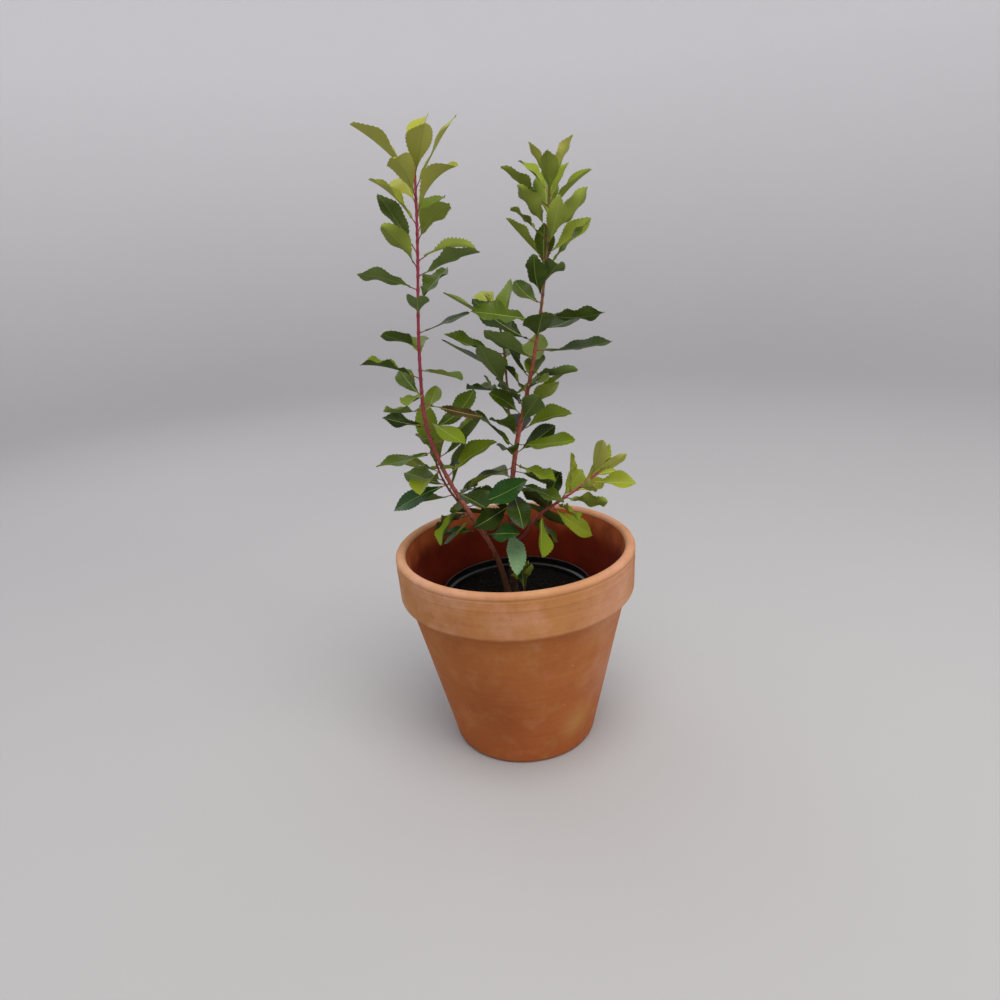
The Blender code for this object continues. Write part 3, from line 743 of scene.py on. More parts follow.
masses = {
    "left_lower_foliage": {
        "shoot": "left_stem", "reach": (0.088, 0.190), "seed": 5792, "phase": 145,
        "hand": -1, "pitch": 0.0087, "leaf": 0.072, "rise": 0, "curl": -4,
    },
    "left_middle_foliage": {
        "shoot": "left_stem", "reach": (0.190, 0.300), "seed": 7646, "phase": 325,
        "hand": 1, "pitch": 0.0073, "leaf": 0.066, "rise": -2, "curl": 14,
    },
    "left_upper_foliage": {
        "shoot": "left_stem", "reach": (0.300, 0.420), "seed": 6944, "phase": 10,
        "hand": 1, "pitch": 0.0128, "leaf": 0.069, "rise": 18, "curl": -8,
    },
    "left_top_foliage": {
        "shoot": "left_stem", "reach": (0.420, 0.537), "seed": 8392, "phase": 45,
        "hand": 1, "pitch": 0.0100, "leaf": 0.080, "rise": 48, "curl": -26,
    },
    "centre_lower_foliage": {
        "shoot": "centre_stem", "reach": (0.085, 0.175), "seed": 6644, "phase": 85,
        "hand": 1, "pitch": 0.0054, "leaf": 0.076, "rise": -10, "curl": -22,
    },
    "centre_middle_foliage": {
        "shoot": "centre_stem", "reach": (0.175, 0.275), "seed": 4802, "phase": 75,
        "hand": 1, "pitch": 0.0055, "leaf": 0.071, "rise": 24, "curl": -8,
    },
    "centre_upper_foliage": {
        "shoot": "centre_stem", "reach": (0.275, 0.385), "seed": 7536, "phase": 350,
        "hand": 1, "pitch": 0.0093, "leaf": 0.083, "rise": 2, "curl": 30,
    },
    "centre_top_foliage": {
        "shoot": "centre_stem", "reach": (0.385, 0.496), "seed": 9191, "phase": 65,
        "hand": -1, "pitch": 0.0077, "leaf": 0.063, "rise": 34, "curl": 6,
    },
    "left_twig_foliage": {
        "shoot": "left_twig", "reach": (0.035, 0.128), "seed": 8283, "phase": 205,
        "hand": 1, "pitch": 0.0104, "leaf": 0.084, "rise": 15, "curl": -8,
    },
    "middle_shoot_foliage": {
        "shoot": "middle_branch", "reach": (0.036, 0.155), "seed": 9726, "phase": 140,
        "hand": 1, "pitch": 0.0077, "leaf": 0.076, "rise": 20, "curl": 14,
    },
    "right_shoot_foliage": {
        "shoot": "right_branch", "reach": (0.046, 0.150), "seed": 4365, "phase": 235,
        "hand": -1, "pitch": 0.0081, "leaf": 0.062, "rise": 15, "curl": 8,
    },
    "foot_sprig_foliage": {
        "shoot": "foot_sprig", "reach": (0.000, 0.040), "seed": 3136, "phase": 80,
        "hand": -1, "pitch": 0.0074, "leaf": 0.030, "rise": 25, "curl": 12,
    },
}
shootLines = {}


def valueAt(table, place, column):
    for low, high in zip(table, table[1:]):
        if place <= high[0]:
            share = max(0.0, (place - low[0]) / (high[0] - low[0]))
            return low[column] + (high[column] - low[column]) * share
    return table[-1][column]


def shootLength(shoot):
    return shoots[shoot]["bends"][-1][0]


def shootHeading(shoot, distance):
    bends = shoots[shoot]["bends"]
    sideways = math.radians(valueAt(bends, distance, 1))
    back = math.radians(valueAt(bends, distance, 2))
    return Vector((math.sin(sideways) * math.cos(back), math.sin(back),
                   math.cos(sideways) * math.cos(back)))


def shootRadius(shoot, distance):
    radius = valueAt(shoots[shoot]["taper"], distance, 1)
    return radius + shoots[shoot].get("flare", 0) * math.exp(-distance / growth["flareReach"])


def shootFoot(shoot):
    if "foot" in shoots[shoot]:
        return Vector((*shoots[shoot]["foot"], soil["height"] + growth["gap"]))
    parent, joint = shoots[shoot]["parent"]
    branchWay = shootHeading(shoot, 0)
    cosine = branchWay.dot(shootHeading(parent, joint))
    sine = math.sqrt(1 - cosine * cosine)
    reach = shootRadius(parent, joint) + growth["gap"] + shootRadius(shoot, 0) * abs(cosine)
    return shootPoint(parent, joint) + branchWay * (reach / sine)


def shootPoint(shoot, distance):
    step = growth["traceStep"]
    if shoot not in shootLines:
        points = [shootFoot(shoot)]
        for count in range(math.ceil(shootLength(shoot) / step)):
            points.append(points[-1] + shootHeading(shoot, (count + 0.5) * step) * step)
        shootLines[shoot] = points
    line = shootLines[shoot]
    place = min(int(distance / step), len(line) - 2)
    return line[place].lerp(line[place + 1], distance / step - place)


def leafPlan(mass):
    rule = growth
    chance = random.Random(mass["seed"])
    length = shootLength(mass["shoot"])
    start, end = mass["reach"]
    distance = start + rule["firstLeaf"]
    turn = math.radians(mass["phase"])
    plan = []
    while distance < min(end - rule["lastLeaf"], length - rule["lastLeaf"]):
        youth = math.exp(-(length - distance) / rule["youngReach"])
        rise = mass["rise"] + (rule["youngRise"] - mass["rise"]) * youth
        rise += chance.gauss(0, rule["riseSpread"])
        size = 1 + (rule["youngLeaf"] - 1) * youth
        leaf = {
            "distance": distance,
            "youth": youth,
            "turn": turn + math.radians(chance.gauss(0, rule["turnSpread"])),
            "rise": math.radians(rise),
            "length": mass["leaf"] * size * chance.uniform(*rule["leafSizes"]),
            "curl": math.radians(mass["curl"] + chance.gauss(0, rule["curlSpread"])),
            "roll": math.radians(chance.gauss(0, rule["rollSpread"]) * (1 - youth)),
            "twist": math.radians(chance.gauss(0, rule["twistSpread"])),
        }
        if chance.random() > rule["fallenShare"]:
            plan.append(leaf)
        pitch = mass["pitch"] * chance.uniform(*rule["pitchSizes"])
        distance += pitch * (1 + (rule["youngPitch"] - 1) * youth)
        turn += mass["hand"] * rule["divergence"]
    return plan


def leafStand(shoot, leaf, extraTurn):
    # Root point, stem axis, outward way and flank of a leaf
    axis = shootHeading(shoot, leaf["distance"])
    sideways = axis.cross(Vector((0, 1, 0))).normalized()
    turn = leaf["turn"] + extraTurn
    outward = sideways * math.cos(turn) + axis.cross(sideways) * math.sin(turn)
    depth = shootRadius(shoot, leaf["distance"]) * growth["rootDepth"]
    return shootPoint(shoot, leaf["distance"]) + outward * depth, axis, outward


leafShape = {
    "width": 0.40, "petiole": 0.12, "solidStations": (0.12, 0.36, 0.66, 0.88, 1.0),
    "teeth": 12, "toothDepth": 0.0012, "firstTooth": 0.20, "lastTooth": 0.97,
    "thickness": 0.00028, "ribTop": 0.00042, "ribUnder": 0.00055, "keel": 0.00045,
    "fold": (8, 32), "wave": (0.0008, 0.0032), "waves": (1.3, 3.0), "tipBend": -16,
    "quilt": 0.00035, "shrivelledShare": 0.05, "slimness": (0.80, 1.06),
    "across": (-1, -0.5, -0.01, 0.01, 0.5, 1, 0.5, 0.01, -0.01, -0.5),
}


def leafLine(stand, leaf, shares):
    # Places along the middle of a leaf, with the way over it, at these shares of its length
    root, axis, outward = stand
    place = root
    previous = 0.0
    line = []
    for share in shares:
        slope = leaf["rise"] + leaf["curl"] * (share + previous) / 2
        way = outward * math.cos(slope) + axis * math.sin(slope)
        place = place + way * leaf["length"] * (share - previous)
        previous = share
        slope = leaf["rise"] + leaf["curl"] * share
        line.append((place, axis * math.cos(slope) - outward * math.sin(slope)))
    return line


def grownTurn(shoot, leaf, corners):
    # The turn at which the solid has this leaf, or None where it had no room
    for turn in growth["triedTurns"]:
        stand = leafStand(shoot, leaf, math.radians(turn))
        tip = leafLine(stand, leaf, leafShape["solidStations"])[-1][0]
        if corners.find(tip)[2] < 0.0004:
            return math.radians(turn)
    return None


def grownLeaves():
    # Every leaf that the solids have, with its mass, its stand and its own small differences
    leaves = []
    for name, mass in masses.items():
        solid = frame["nodes"][name].data.vertices
        corners = KDTree(len(solid))
        for index, vertex in enumerate(solid):
            corners.insert(vertex.co, index)
        corners.balance()
        plan = leafPlan(mass)
        kept = 0
        for index, leaf in enumerate(plan):
            turn = grownTurn(mass["shoot"], leaf, corners)
            if turn is None:
                continue
            kept += 1
            leaves.append({**leaf, "mass": name, "shoot": mass["shoot"],
                           "stand": leafStand(mass["shoot"], leaf, turn),
                           "chance": random.Random(mass["seed"] * 100 + index)})
        print(f"{name}: {kept} of {len(plan)} leaves")
    return leaves


budLeaves = {"count": 5, "lengths": (0.010, 0.024), "rise": (66, 84), "seed": 41,
             "shoots": ("left_stem", "centre_stem", "left_twig", "middle_branch",
                        "right_branch", "foot_sprig")}


def tipLeaves():
    # The smallest leaves, still folded about the growing tips
    chance = random.Random(budLeaves["seed"])
    lastMass = {mass["shoot"]: name for name, mass in masses.items()}
    leaves = []
    for shoot in budLeaves["shoots"]:
        for number in range(budLeaves["count"]):
            leaf = {
                "distance": shootLength(shoot) - 0.0015 + 0.0002 * number, "youth": 1.0,
                "turn": number * growth["divergence"] + chance.uniform(0, 0.5),
                "rise": math.radians(chance.uniform(*budLeaves["rise"])),
                "length": chance.uniform(*budLeaves["lengths"]),
                "curl": math.radians(chance.uniform(-6, 22)), "roll": 0.0,
                "twist": math.radians(chance.gauss(0, 10)),
            }
            leaves.append({**leaf, "mass": lastMass[shoot], "shoot": shoot,
                           "stand": leafStand(shoot, leaf, 0.0),
                           "chance": random.Random(budLeaves["seed"] * 50 + number)})
    return leaves


# Leaf finishes. The greens are plain colours, dealt out leaf by leaf.

leafLook = {
    # Partly painted light: the young greens are the leaves' own yellow-green made brighter, for
    # the glow through thin young blades
    "young": ("96982C", "868E26"), "fresh": ("7A8618", "667814"),
    # Painted light and shade: the mature greens run from a lit light green to a shaded dark
    # green, dealt to whole leaves
    "mature": ("62720E", "46580C", "263606"), "low": ("264A16", "3E6E34", "7A9C72"),
    "underYoung": "A6A650", "underFresh": "828E38", "underMature": "62743A",
    "underDark": "42541A", "ribYoung": "B0B25C", "ribMature": "8E9C48",
    "ribUnder": "8A9852", "wither": "4A3A20",
    "veinCount": 13, "veinSweep": 0.55,
}
# How near its tip each shoot's leaves turn yellow-green, then fresh green, as the youth of the
# leaf plan
ripening = {
    "left_stem": (0.06, 0.03), "centre_stem": (0.75, 0.07), "left_twig": (2.0, 0.35),
    "middle_branch": (0.40, 0.10), "right_branch": (0.16, 0.05), "foot_sprig": (2.0, 0.55),
}


def makeLeafFinish(name, colour, roughness, coat, veinDepth):
    # Leathery leaf: a waxy cuticle over a surface quilted by its side veins
    material, tree, shader = newMaterial(name, {
        "Base Color": hexColour(colour), "IOR": 1.45, "Coat Weight": coat,
        "Coat Roughness": 0.3, "Specular IOR Level": 0.14})
    along = addNode(tree, "ShaderNodeUVMap", {"uv_map": "leafWay"})
    parts = addNode(tree, "ShaderNodeSeparateXYZ", None, {0: along.outputs[0]}).outputs
    across = addNode(tree, "ShaderNodeMath", {"operation": "ABSOLUTE"}, {0: parts["Y"]})
    swept = addNode(tree, "ShaderNodeMath", {"operation": "MULTIPLY_ADD"},
                    {0: across.outputs[0], 1: -leafLook["veinSweep"] * 0.2, 2: parts["X"]})
    phase = addNode(tree, "ShaderNodeMath", {"operation": "MULTIPLY"},
                    {0: swept.outputs[0], 1: leafLook["veinCount"] * math.pi})
    wave = addNode(tree, "ShaderNodeMath", {"operation": "SINE"}, {0: phase.outputs[0]})
    ridge = addNode(tree, "ShaderNodeMath", {"operation": "ABSOLUTE"}, {0: wave.outputs[0]})
    place = addNode(tree, "ShaderNodeTexCoord").outputs["Object"]
    cloud = addNode(tree, "ShaderNodeTexNoise", None,
                    {"Vector": place, "Scale": 1 / 0.0035, "Detail": 4.0, "Roughness": 0.6})
    height = addNode(tree, "ShaderNodeMath", {"operation": "MULTIPLY_ADD"},
                     {0: cloud.outputs[0], 1: 0.7, 2: ridge.outputs[0]})
    bump = addNode(tree, "ShaderNodeBump", None,
                   {"Strength": 0.6, "Distance": veinDepth, "Height": height.outputs[0]})
    rough = addNode(tree, "ShaderNodeMapRange", None,
                    {"Value": cloud.outputs[0], "From Min": 0.3, "From Max": 0.7,
                     "To Min": roughness - 0.08, "To Max": roughness + 0.12})
    tree.links.new(rough.outputs[0], shader.inputs["Roughness"])
    tree.links.new(bump.outputs[0], shader.inputs["Normal"])
    return material


def leafFinishes():
    finishes = {}
    for kind, roughness, coat, veinDepth in (("young", 0.45, 0.04, 0.25),
                                             ("fresh", 0.43, 0.05, 0.3),
                                             ("mature", 0.38, 0.06, 0.35),
                                             ("low", 0.36, 0.20, 0.40)):
        for index, colour in enumerate(leafLook[kind]):
            finishes[f"{kind}{index}"] = makeLeafFinish(f"{kind}Leaf{index}", colour, roughness,
                                                        coat, veinDepth * millimetre)
    for key, name, roughness in (("underYoung", "youngUnderside", 0.6),
                                 ("underFresh", "freshUnderside", 0.6),
                                 ("underMature", "matureUnderside", 0.6),
                                 ("underDark", "darkUnderside", 0.6),
                                 ("ribYoung", "youngMidrib", 0.5),
                                 ("ribMature", "matureMidrib", 0.5),
                                 ("ribUnder", "undersideMidrib", 0.55),
                                 ("wither", "witheredLeaf", 0.65)):
        finishes[key] = makeLeafFinish(name, leafLook[key], roughness, 0.0, 0.2 * millimetre)
    return finishes


def leafShares():
    # Shares of the blade, with whether each is the point of a tooth
    shape = leafShape
    shares = [(0.0, 0), (0.05, 0), (0.10, 0)]
    step = (shape["lastTooth"] - shape["firstTooth"]) / shape["teeth"]
    for tooth in range(shape["teeth"]):
        start = shape["firstTooth"] + tooth * step
        shares += [(start, -1), (start + step * 0.72, 1)]
    return shares + [(shape["lastTooth"], -1)]


def bladeWidth(share):
    # Half width of the blade as a share of its widest, an oval that is fullest past the middle
    return math.sin(math.pi * min(1.0, share) ** 1.38) ** 0.88


def leafFinishNames(leaf):
    # Names of the finishes of a leaf's upper side, underside and midrib
    pick = leaf["chance"].random()
    height = leaf["stand"][0].z
    youngFrom, freshFrom = ripening[leaf["shoot"]]
    if leaf["youth"] > youngFrom:
        return f"young{int(pick * 2)}", "underYoung", "ribYoung"
    if leaf["youth"] > freshFrom or (height > 0.60 and pick < 0.35):
        return f"fresh{int(pick * 4) % 2}", "underFresh", "ribMature"
    if height < 0.30 or (height < 0.36 and pick < 0.4):
        return f"low{int(pick * 9) % 3}", "underMature", "ribMature"
    under = ("underDark", "underMature", "underFresh")[min(2, int(pick * 2.6))]
    # Partly painted light and shade: a light, middle or dark mature green
    return f"mature{int(pick * 9) % 3}", under, "ribMature"


def bladeMesh(leaf, shares):
    # Points, faces, finish numbers and leaf coordinates of one blade
    shape = leafShape
    chance = leaf["chance"]
    topName, underName, ribName = leafFinishNames(leaf)
    shrivelled = leaf["youth"] < 0.1 and chance.random() < shape["shrivelledShare"]
    narrow = 0.42 if shrivelled else 1.0
    if shrivelled:
        topName = "wither"
    half = leaf["length"] * shape["width"] / 2 * narrow * chance.uniform(*shape["slimness"])
    fold = math.tan(math.radians(chance.uniform(*shape["fold"]))) * (2.2 if shrivelled else 1)
    waveHeight = chance.uniform(*shape["wave"]) * (1 - 0.6 * leaf["youth"])
    waveCount = chance.uniform(*shape["waves"])
    wavePhase = chance.uniform(0, 2 * math.pi)
    bend = math.radians(shape["tipBend"]) * chance.uniform(-0.3, 1.0)
    blade = 1 - shape["petiole"]
    lengthShares = [shape["petiole"] + blade * share for share, tooth in shares] + [1.0]
    line = leafLine(leaf["stand"], leaf, lengthShares)
    points, ways = [], []
    root, axis, outward = leaf["stand"]
    flank = axis.cross(outward)
    small = min(1.0, leaf["length"] / 0.05)
    for (share, tooth), lengthShare, (place, over) in zip(shares, lengthShares, line):
        roll = leaf["roll"] + leaf["twist"] * lengthShare
        side = flank * math.cos(roll) + over * math.sin(roll)
        face = over * math.cos(roll) - flank * math.sin(roll)
        width = max(0.0008, half * bladeWidth(share) + tooth * shape["toothDepth"] * small / 2)
        sag = leaf["length"] * bend * share ** 3 * 0.3
        for order, across in enumerate(shape["across"]):
            isRib = abs(across) < 0.1
            under = order in (1, 2, 3, 4)
            ribWidth = shape["ribUnder" if under else "ribTop"] * (1.25 - share)
            reach = math.copysign(ribWidth, across) if isRib else across * width
            spread = abs(reach) / width
            lift = fold * abs(reach) * (0.65 + 0.35 * spread)
            lift += waveHeight * spread ** 2 * math.sin(
                2 * math.pi * waveCount * share + wavePhase + (across < 0) * 1.9)
            lift += sag
            belly = shape["thickness"] * (1 - spread ** 4)
            if under:
                lift -= belly + (shape["keel"] * (1 - share) if isRib else 0)
            elif abs(across) < 1:
                lift += belly - (0.00018 if isRib else -shape["quilt"] * abs(tooth) * 0.5)
            points.append(place + side * reach + face * lift)
            ways.append((share, across))
    points.append(line[-1][0] + face * sag)
    ways.append((1.0, 0.0))
    for point in points:  # no tip passes the left side of the solids
        point.x = max(point.x, cadBox[0][0])
    return points, ways, (topName, underName, ribName)


def bladeFaces(rings, start):
    around = len(leafShape["across"])
    faces = [tuple(start + corner for corner in reversed(range(around)))]
    parts = ["under"]
    for ring in range(rings - 1):
        low = start + ring * around
        for corner in range(around):
            follow = (corner + 1) % around
            face = (low + corner, low + follow, low + around + follow, low + around + corner)
            # The upper faces start one corner on, so that a twisted strip splits the same way
            # on both sides and neither comes through the other
            faces.append(face if corner < around // 2 else face[1:] + face[:1])
            parts.append(facePart(corner))
    last = start + (rings - 1) * around
    for corner in range(around):
        faces.append((last + corner, last + (corner + 1) % around, start + rings * around))
        parts.append(facePart(corner))
    return faces, parts


def facePart(corner):
    if corner == 2:
        return "ribUnder"
    if corner == 7:
        return "rib"
    return "under" if corner < 5 else "top"


def makeLeaves(leaves, finishes):
    order = list(finishes)
    shares = leafShares()
    points, faces, ways, numbers = [], [], [], []
    for leaf in leaves:
        blade, bladeWays, names = bladeMesh(leaf, shares)
        top, under, rib = names
        found, parts = bladeFaces(len(shares), len(points))
        named = {"top": top, "under": under, "rib": rib, "ribUnder": "ribUnder"}
        numbers += [order.index(named[part]) for part in parts]
        points += blade
        ways += bladeWays
        faces += found
    piece = newMeshObject("leaves", points, faces, finishes.values())
    mesh = piece.data
    mesh.polygons.foreach_set("material_index", numbers)
    layer = mesh.uv_layers.new(name="leafWay")
    corners = np.empty(len(mesh.loops), dtype=np.int32)
    mesh.loops.foreach_get("vertex_index", corners)
    layer.data.foreach_set("uv", np.array(ways, dtype=np.float32)[corners].ravel())
    mesh.shade_smooth()
    mesh.set_sharp_from_angle(angle=math.radians(70))
    finishPiece(piece, "leaves", *masses)
    return piece


# Petioles

petiole = {"radius": (0.00085, 0.0006), "sides": 6, "rings": 6, "into": 0.03,
           "red": "8A3030", "young": "A4743A", "dull": "5E3A26"}


def makePetioleFinish(name, colour):
    # Petiole skin: smooth, faintly glossy and flushed red
    material, tree, shader = newMaterial(name, {"Base Color": hexColour(colour), "IOR": 1.45})
    place = addNode(tree, "ShaderNodeTexCoord").outputs["Object"]
    cloud = addNode(tree, "ShaderNodeTexNoise", None,
                    {"Vector": place, "Scale": 1 / 0.0012, "Detail": 3.0})
    rough = addNode(tree, "ShaderNodeMapRange", None,
                    {"Value": cloud.outputs[0], "To Min": 0.4, "To Max": 0.65})
    bump = addNode(tree, "ShaderNodeBump", None,
                   {"Strength": 0.4, "Distance": 0.1 * millimetre, "Height": cloud.outputs[0]})
    tree.links.new(rough.outputs[0], shader.inputs["Roughness"])
    tree.links.new(bump.outputs[0], shader.inputs["Normal"])
    return material


def makePetioles(leaves):
    finishes = [makePetioleFinish(f"{key}Petiole", petiole[key])
                for key in ("red", "young", "dull")]
    points, faces, numbers = [], [], []
    sides, rings = petiole["sides"], petiole["rings"]
    for leaf in leaves:
        root, axis, outward = leaf["stand"]
        flank = axis.cross(outward)
        end = leafShape["petiole"] + petiole["into"]
        shares = [end * ring / (rings - 1) for ring in range(rings)]
        thick, thin = petiole["radius"]
        small = min(1.0, leaf["length"] / 0.035)
        finish = 1 if leaf["youth"] > 0.42 else (2 if root.z < 0.30 else 0)
        start = len(points)
        for ring, (place, over) in enumerate(leafLine(leaf["stand"], leaf, shares)):
            radius = (thick + (thin - thick) * ring / (rings - 1)) * small
            radius *= 1.35 if ring == 0 else 1.0
            for side in range(sides):
                angle = 2 * math.pi * side / sides
                points.append(place + flank * radius * math.cos(angle)
                              + over * radius * math.sin(angle) * 0.8)
        faces.append(tuple(start + side for side in reversed(range(sides))))
        for ring in range(rings - 1):
            low = start + ring * sides
            for side in range(sides):
                follow = (side + 1) % sides
                faces.append((low + side, low + follow, low + sides + follow,
                              low + sides + side))
        faces.append(tuple(start + (rings - 1) * sides + side for side in range(sides)))
        numbers += [finish] * (sides * (rings - 1) + 2)
    piece = newMeshObject("petioles", points, faces, finishes)
    piece.data.polygons.foreach_set("material_index", numbers)
    piece.data.shade_smooth()
    piece.data.set_sharp_from_angle(angle=math.radians(65))
    finishPiece(piece, "bark", *masses)


# Stems and branches

barkLook = {
    "left_stem": ((0.19, "463426"), (0.235, "7C5038"), (0.30, "A4604A"), (0.40, "94403E"),
                  (0.50, "942E42"), (0.66, "A03048"), (0.73, "A65A44")),
    "centre_stem": ((0.19, "40352A"), (0.24, "5C3A2A"), (0.32, "96503E"), (0.42, "A85A46"),
                    (0.50, "94503C"), (0.60, "6E5630"), (0.70, "7C7A34")),
    "left_twig": ((0.24, "6A3A30"), (0.40, "8E4E3E")),
    "middle_branch": ((0.38, "983E40"), (0.48, "94704A")),
    "right_branch": ((0.24, "7C3430"), (0.34, "A8564E")),
    "foot_sprig": ((0.19, "5A4430"), (0.23, "6A6A3C")),
}
bark = {
    "sides": 12, "pointPitch": 0.0014, "relief": 0.0004, "reliefSize": 0.0034,
    "swelling": 0.00045, "swellingReach": 0.0022, "sink": 0.004, "collar": 0.0008,
    "collarReach": 0.004, "scarPitch": 0.0042, "scarSize": (0.0007, 0.0014), "scarSeed": 77,
}


def makeBark(shoot):
    # Young smooth bark, flushed red above and drying to flaky grey-brown near the foot
    stops = barkLook[shoot]
    low, high = stops[0][0], stops[-1][0]
    material, tree, shader = newMaterial(shoot + "Bark", {"IOR": 1.45})
    place = addNode(tree, "ShaderNodeTexCoord").outputs["Object"]
    height = addNode(tree, "ShaderNodeSeparateXYZ", None, {0: place}).outputs
    cloud = addNode(tree, "ShaderNodeTexNoise", None,
                    {"Vector": place, "Scale": 1 / 0.005, "Detail": 6.0, "Roughness": 0.65})
    uneven = addNode(tree, "ShaderNodeMath", {"operation": "MULTIPLY_ADD"},
                     {0: cloud.outputs[0], 1: 0.05, 2: height["Z"]})
    share = addNode(tree, "ShaderNodeMapRange", None,
                    {"Value": uneven.outputs[0], "From Min": low + 0.025,
                     "From Max": high + 0.025})
    tint = addNode(tree, "ShaderNodeValToRGB", {
        "stops": [((place - low) / (high - low), hexColour(colour)) for place, colour in stops]},
        {0: share.outputs[0]})
    streaks = addNode(tree, "ShaderNodeMapping", None,
                      {"Vector": place, "Scale": (1 / 0.0012, 1 / 0.0012, 1 / 0.008)})
    fibre = addNode(tree, "ShaderNodeTexNoise", None,
                    {"Vector": streaks.outputs[0], "Scale": 1.0, "Detail": 4.0})
    level = addNode(tree, "ShaderNodeMapRange", None,
                    {"Value": fibre.outputs[0], "From Min": 0.3, "From Max": 0.7,
                     "To Min": 0.72, "To Max": 1.22})
    shade = addNode(tree, "ShaderNodeVectorMath", {"operation": "SCALE"},
                    {0: tint.outputs[0], "Scale": level.outputs[0]})
    rough = addNode(tree, "ShaderNodeMapRange", None,
                    {"Value": cloud.outputs[0], "To Min": 0.45, "To Max": 0.8})
    bump = addNode(tree, "ShaderNodeBump", None,
                   {"Strength": 0.7, "Distance": 0.3 * millimetre, "Height": fibre.outputs[0]})
    tree.links.new(shade.outputs[0], shader.inputs["Base Color"])
    tree.links.new(rough.outputs[0], shader.inputs["Roughness"])
    tree.links.new(bump.outputs[0], shader.inputs["Normal"])
    return material


def barkTree():
    tree, given = newGeometryTree("barkTube", (
        ("Sides", "NodeSocketInt"), ("Relief", "NodeSocketFloat"),
        ("Relief Size", "NodeSocketFloat"), ("Seed", "NodeSocketFloat"),
        ("Material", "NodeSocketMaterial")))
    curve = addNode(tree, "GeometryNodeMeshToCurve", None, {"Mesh": given["Geometry"]})
    ring = addNode(tree, "GeometryNodeCurvePrimitiveCircle", None,
                   {"Resolution": given["Sides"], "Radius": 1.0})
    girth = addNode(tree, "GeometryNodeInputNamedAttribute", {"data_type": "FLOAT"},
                    {"Name": "girth"})
    tube = addNode(tree, "GeometryNodeCurveToMesh", None,
                   {"Curve": curve.outputs[0], "Profile Curve": ring.outputs[0],
                    "Scale": girth.outputs["Attribute"], "Fill Caps": True})
    perMetre = addNode(tree, "ShaderNodeMath", {"operation": "DIVIDE"},
                       {0: 1.0, 1: given["Relief Size"]})
    knobs = addNode(tree, "ShaderNodeTexNoise", {"noise_dimensions": "4D"},
                    {"W": given["Seed"], "Scale": perMetre.outputs[0], "Detail": 3.0,
                     "Vector": addNode(tree, "GeometryNodeInputPosition").outputs[0]})
    centred = addNode(tree, "ShaderNodeMath", {"operation": "SUBTRACT"},
                      {0: knobs.outputs[0], 1: 0.5})
    lift = addNode(tree, "ShaderNodeMath", {"operation": "MULTIPLY"},
                   {0: centred.outputs[0], 1: given["Relief"]})
    offset = addNode(tree, "ShaderNodeVectorMath", {"operation": "SCALE"},
                     {0: addNode(tree, "GeometryNodeInputNormal").outputs[0],
                      "Scale": lift.outputs[0]})
    rough = addNode(tree, "GeometryNodeSetPosition", None,
                    {"Geometry": tube.outputs[0], "Offset": offset.outputs[0]})
    endGeometryTree(tree, rough.outputs[0], given["Material"])
    return tree


def makeStem(shoot, tree, leaves, nodes):
    length = shootLength(shoot)
    count = round(length / bark["pointPitch"])
    joints = [leaf["distance"] for leaf in leaves if leaf["shoot"] == shoot]
    points, girths = [], []
    isBranch = "parent" in shoots[shoot]
    sink = 0.0 if not isBranch else shootRadius(*shoots[shoot]["parent"])
    first = shootPoint(shoot, 0) - shootHeading(shoot, 0) * (bark["sink"] if not isBranch
                                                             else sink * 1.2)
    points.append(first)
    girths.append(shootRadius(shoot, 0) + (bark["collar"] if isBranch else 0))
    for index in range(count + 1):
        distance = length * index / count
        girth = shootRadius(shoot, distance)
        for joint in joints:
            apart = (distance - joint) / bark["swellingReach"]
            if abs(apart) < 3:
                girth += bark["swelling"] * math.exp(-apart * apart)
        if isBranch:
            girth += bark["collar"] * math.exp(-distance / bark["collarReach"])
        points.append(shootPoint(shoot, distance))
        girths.append(girth)
    girths[-1] *= 0.6
    mesh = bpy.data.meshes.new(shoot + "Line")
    mesh.from_pydata(points, [(index, index + 1) for index in range(len(points) - 1)], [])
    mesh.attributes.new("girth", "FLOAT", "POINT").data.foreach_set("value", girths)
    line = bpy.data.objects.new(shoot + "Line", mesh)
    bpy.context.scene.collection.objects.link(line)
    piece = growWithTree(shoot + "Bark", line, tree, {
        "Sides": bark["sides"], "Relief": bark["relief"], "Relief Size": bark["reliefSize"],
        "Seed": float(len(points)), "Material": makeBark(shoot)})
    finishPiece(piece, "bark", *nodes)
    return piece


def knotTree():
    tree, given = newGeometryTree("leafKnots", (("Material", "NodeSocketMaterial"),))
    size = addNode(tree, "GeometryNodeInputNamedAttribute", {"data_type": "FLOAT"},
                   {"Name": "knotSize"})
    way = addNode(tree, "GeometryNodeInputNamedAttribute", {"data_type": "FLOAT_VECTOR"},
                  {"Name": "knotWay"})
    turn = addNode(tree, "FunctionNodeAlignRotationToVector", {"axis": "Z"},
                   {"Vector": way.outputs["Attribute"]})
    ball = addNode(tree, "GeometryNodeMeshIcoSphere", None, {"Radius": 1.0, "Subdivisions": 2})
    flat = addNode(tree, "ShaderNodeVectorMath", {"operation": "SCALE"},
                   {0: (1.0, 1.25, 0.75), "Scale": size.outputs["Attribute"]})
    placed = addNode(tree, "GeometryNodeInstanceOnPoints", None,
                     {"Points": given["Geometry"], "Instance": ball.outputs["Mesh"],
                      "Rotation": turn.outputs[0], "Scale": flat.outputs[0]})
    endGeometryTree(tree, placed.outputs[0], given["Material"])
    return tree


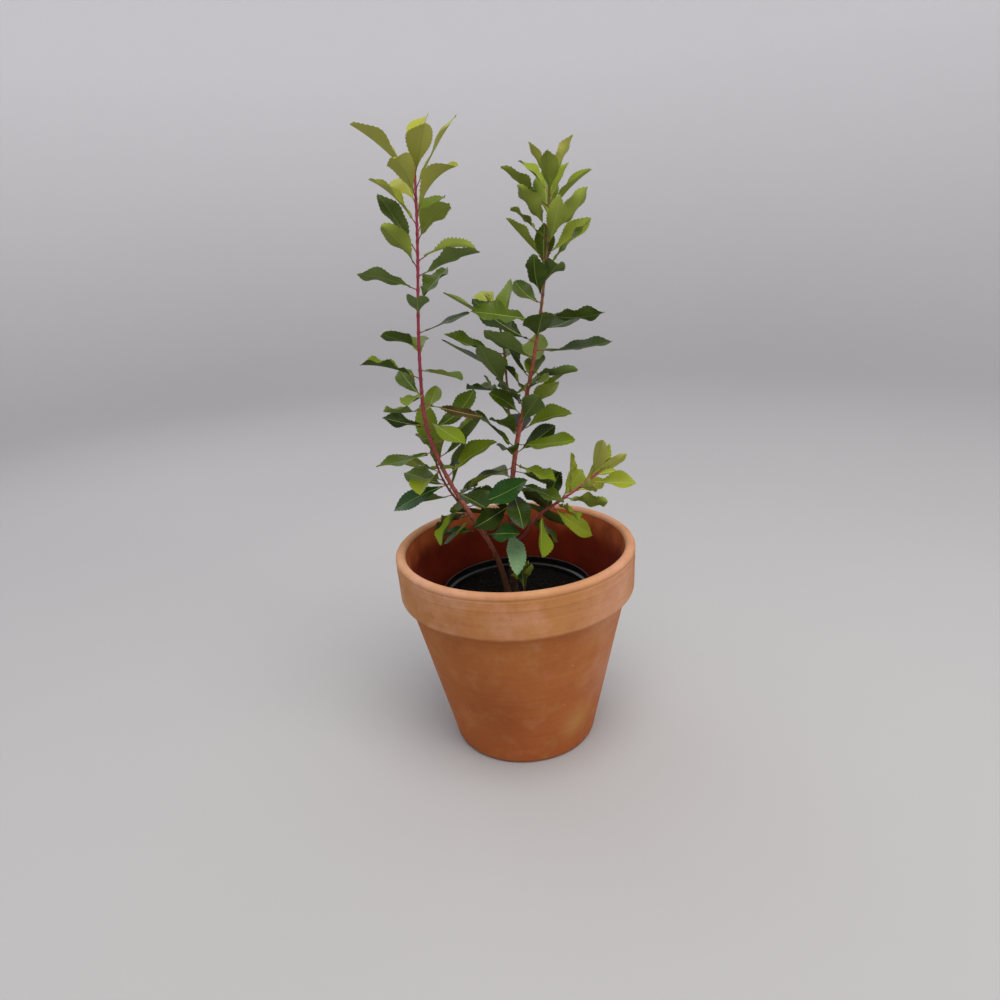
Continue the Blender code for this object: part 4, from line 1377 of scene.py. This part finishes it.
def makeKnots(leaves, nodes):
    # Scars of fallen leaves up the bare stems, and the bud in the corner of every leaf
    chance = random.Random(bark["scarSeed"])
    points, ways, sizes = [], [], []
    for shoot in shoots:
        leafy = min(mass["reach"][0] for mass in masses.values() if mass["shoot"] == shoot)
        distance, turn = 0.004, 0.0
        while distance < leafy:
            stand = {"distance": distance, "turn": turn}
            root, axis, outward = leafStand(shoot, stand, 0.0)
            points.append(shootPoint(shoot, distance) + outward * shootRadius(shoot, distance))
            ways.append(outward)
            sizes.append(chance.uniform(*bark["scarSize"]))
            distance += bark["scarPitch"] * chance.uniform(0.7, 1.3)
            turn += growth["divergence"]
    for leaf in leaves:
        root, axis, outward = leaf["stand"]
        radius = shootRadius(leaf["shoot"], leaf["distance"])
        points.append(root + outward * radius * 0.5 + axis * 0.0011)
        ways.append((outward + axis).normalized())
        sizes.append(0.0008 * chance.uniform(0.7, 1.2))
    mesh = bpy.data.meshes.new("knotPlaces")
    mesh.from_pydata(points, [], [])
    mesh.attributes.new("knotSize", "FLOAT", "POINT").data.foreach_set("value", sizes)
    mesh.attributes.new("knotWay", "FLOAT_VECTOR", "POINT").data.foreach_set(
        "vector", [value for way in ways for value in way])
    places = bpy.data.objects.new("knotPlaces", mesh)
    bpy.context.scene.collection.objects.link(places)
    piece = growWithTree("leafKnots", places, knotTree(),
                         {"Material": makePetioleFinish("knotBark", "7C4536")})
    finishPiece(piece, "bark", *nodes)


stemNodes = {
    "left_stem": ("left_stem",), "centre_stem": ("centre_stem",), "left_twig": ("left_twig",),
    "middle_branch": ("middle_branch",), "right_branch": ("right_branch",),
    "foot_sprig": ("foot_sprig_foliage",),
}
leaves = grownLeaves()
allLeaves = leaves + tipLeaves()
makeLeaves(allLeaves, leafFinishes())
print(f"{len(allLeaves)} leaves have grown")
makePetioles(allLeaves)
stemTree = barkTree()
for shoot, nodes in stemNodes.items():
    makeStem(shoot, stemTree, leaves, nodes)
makeKnots(leaves, [node for nodes in stemNodes.values() for node in nodes])
print("petioles, stems and knots are made")
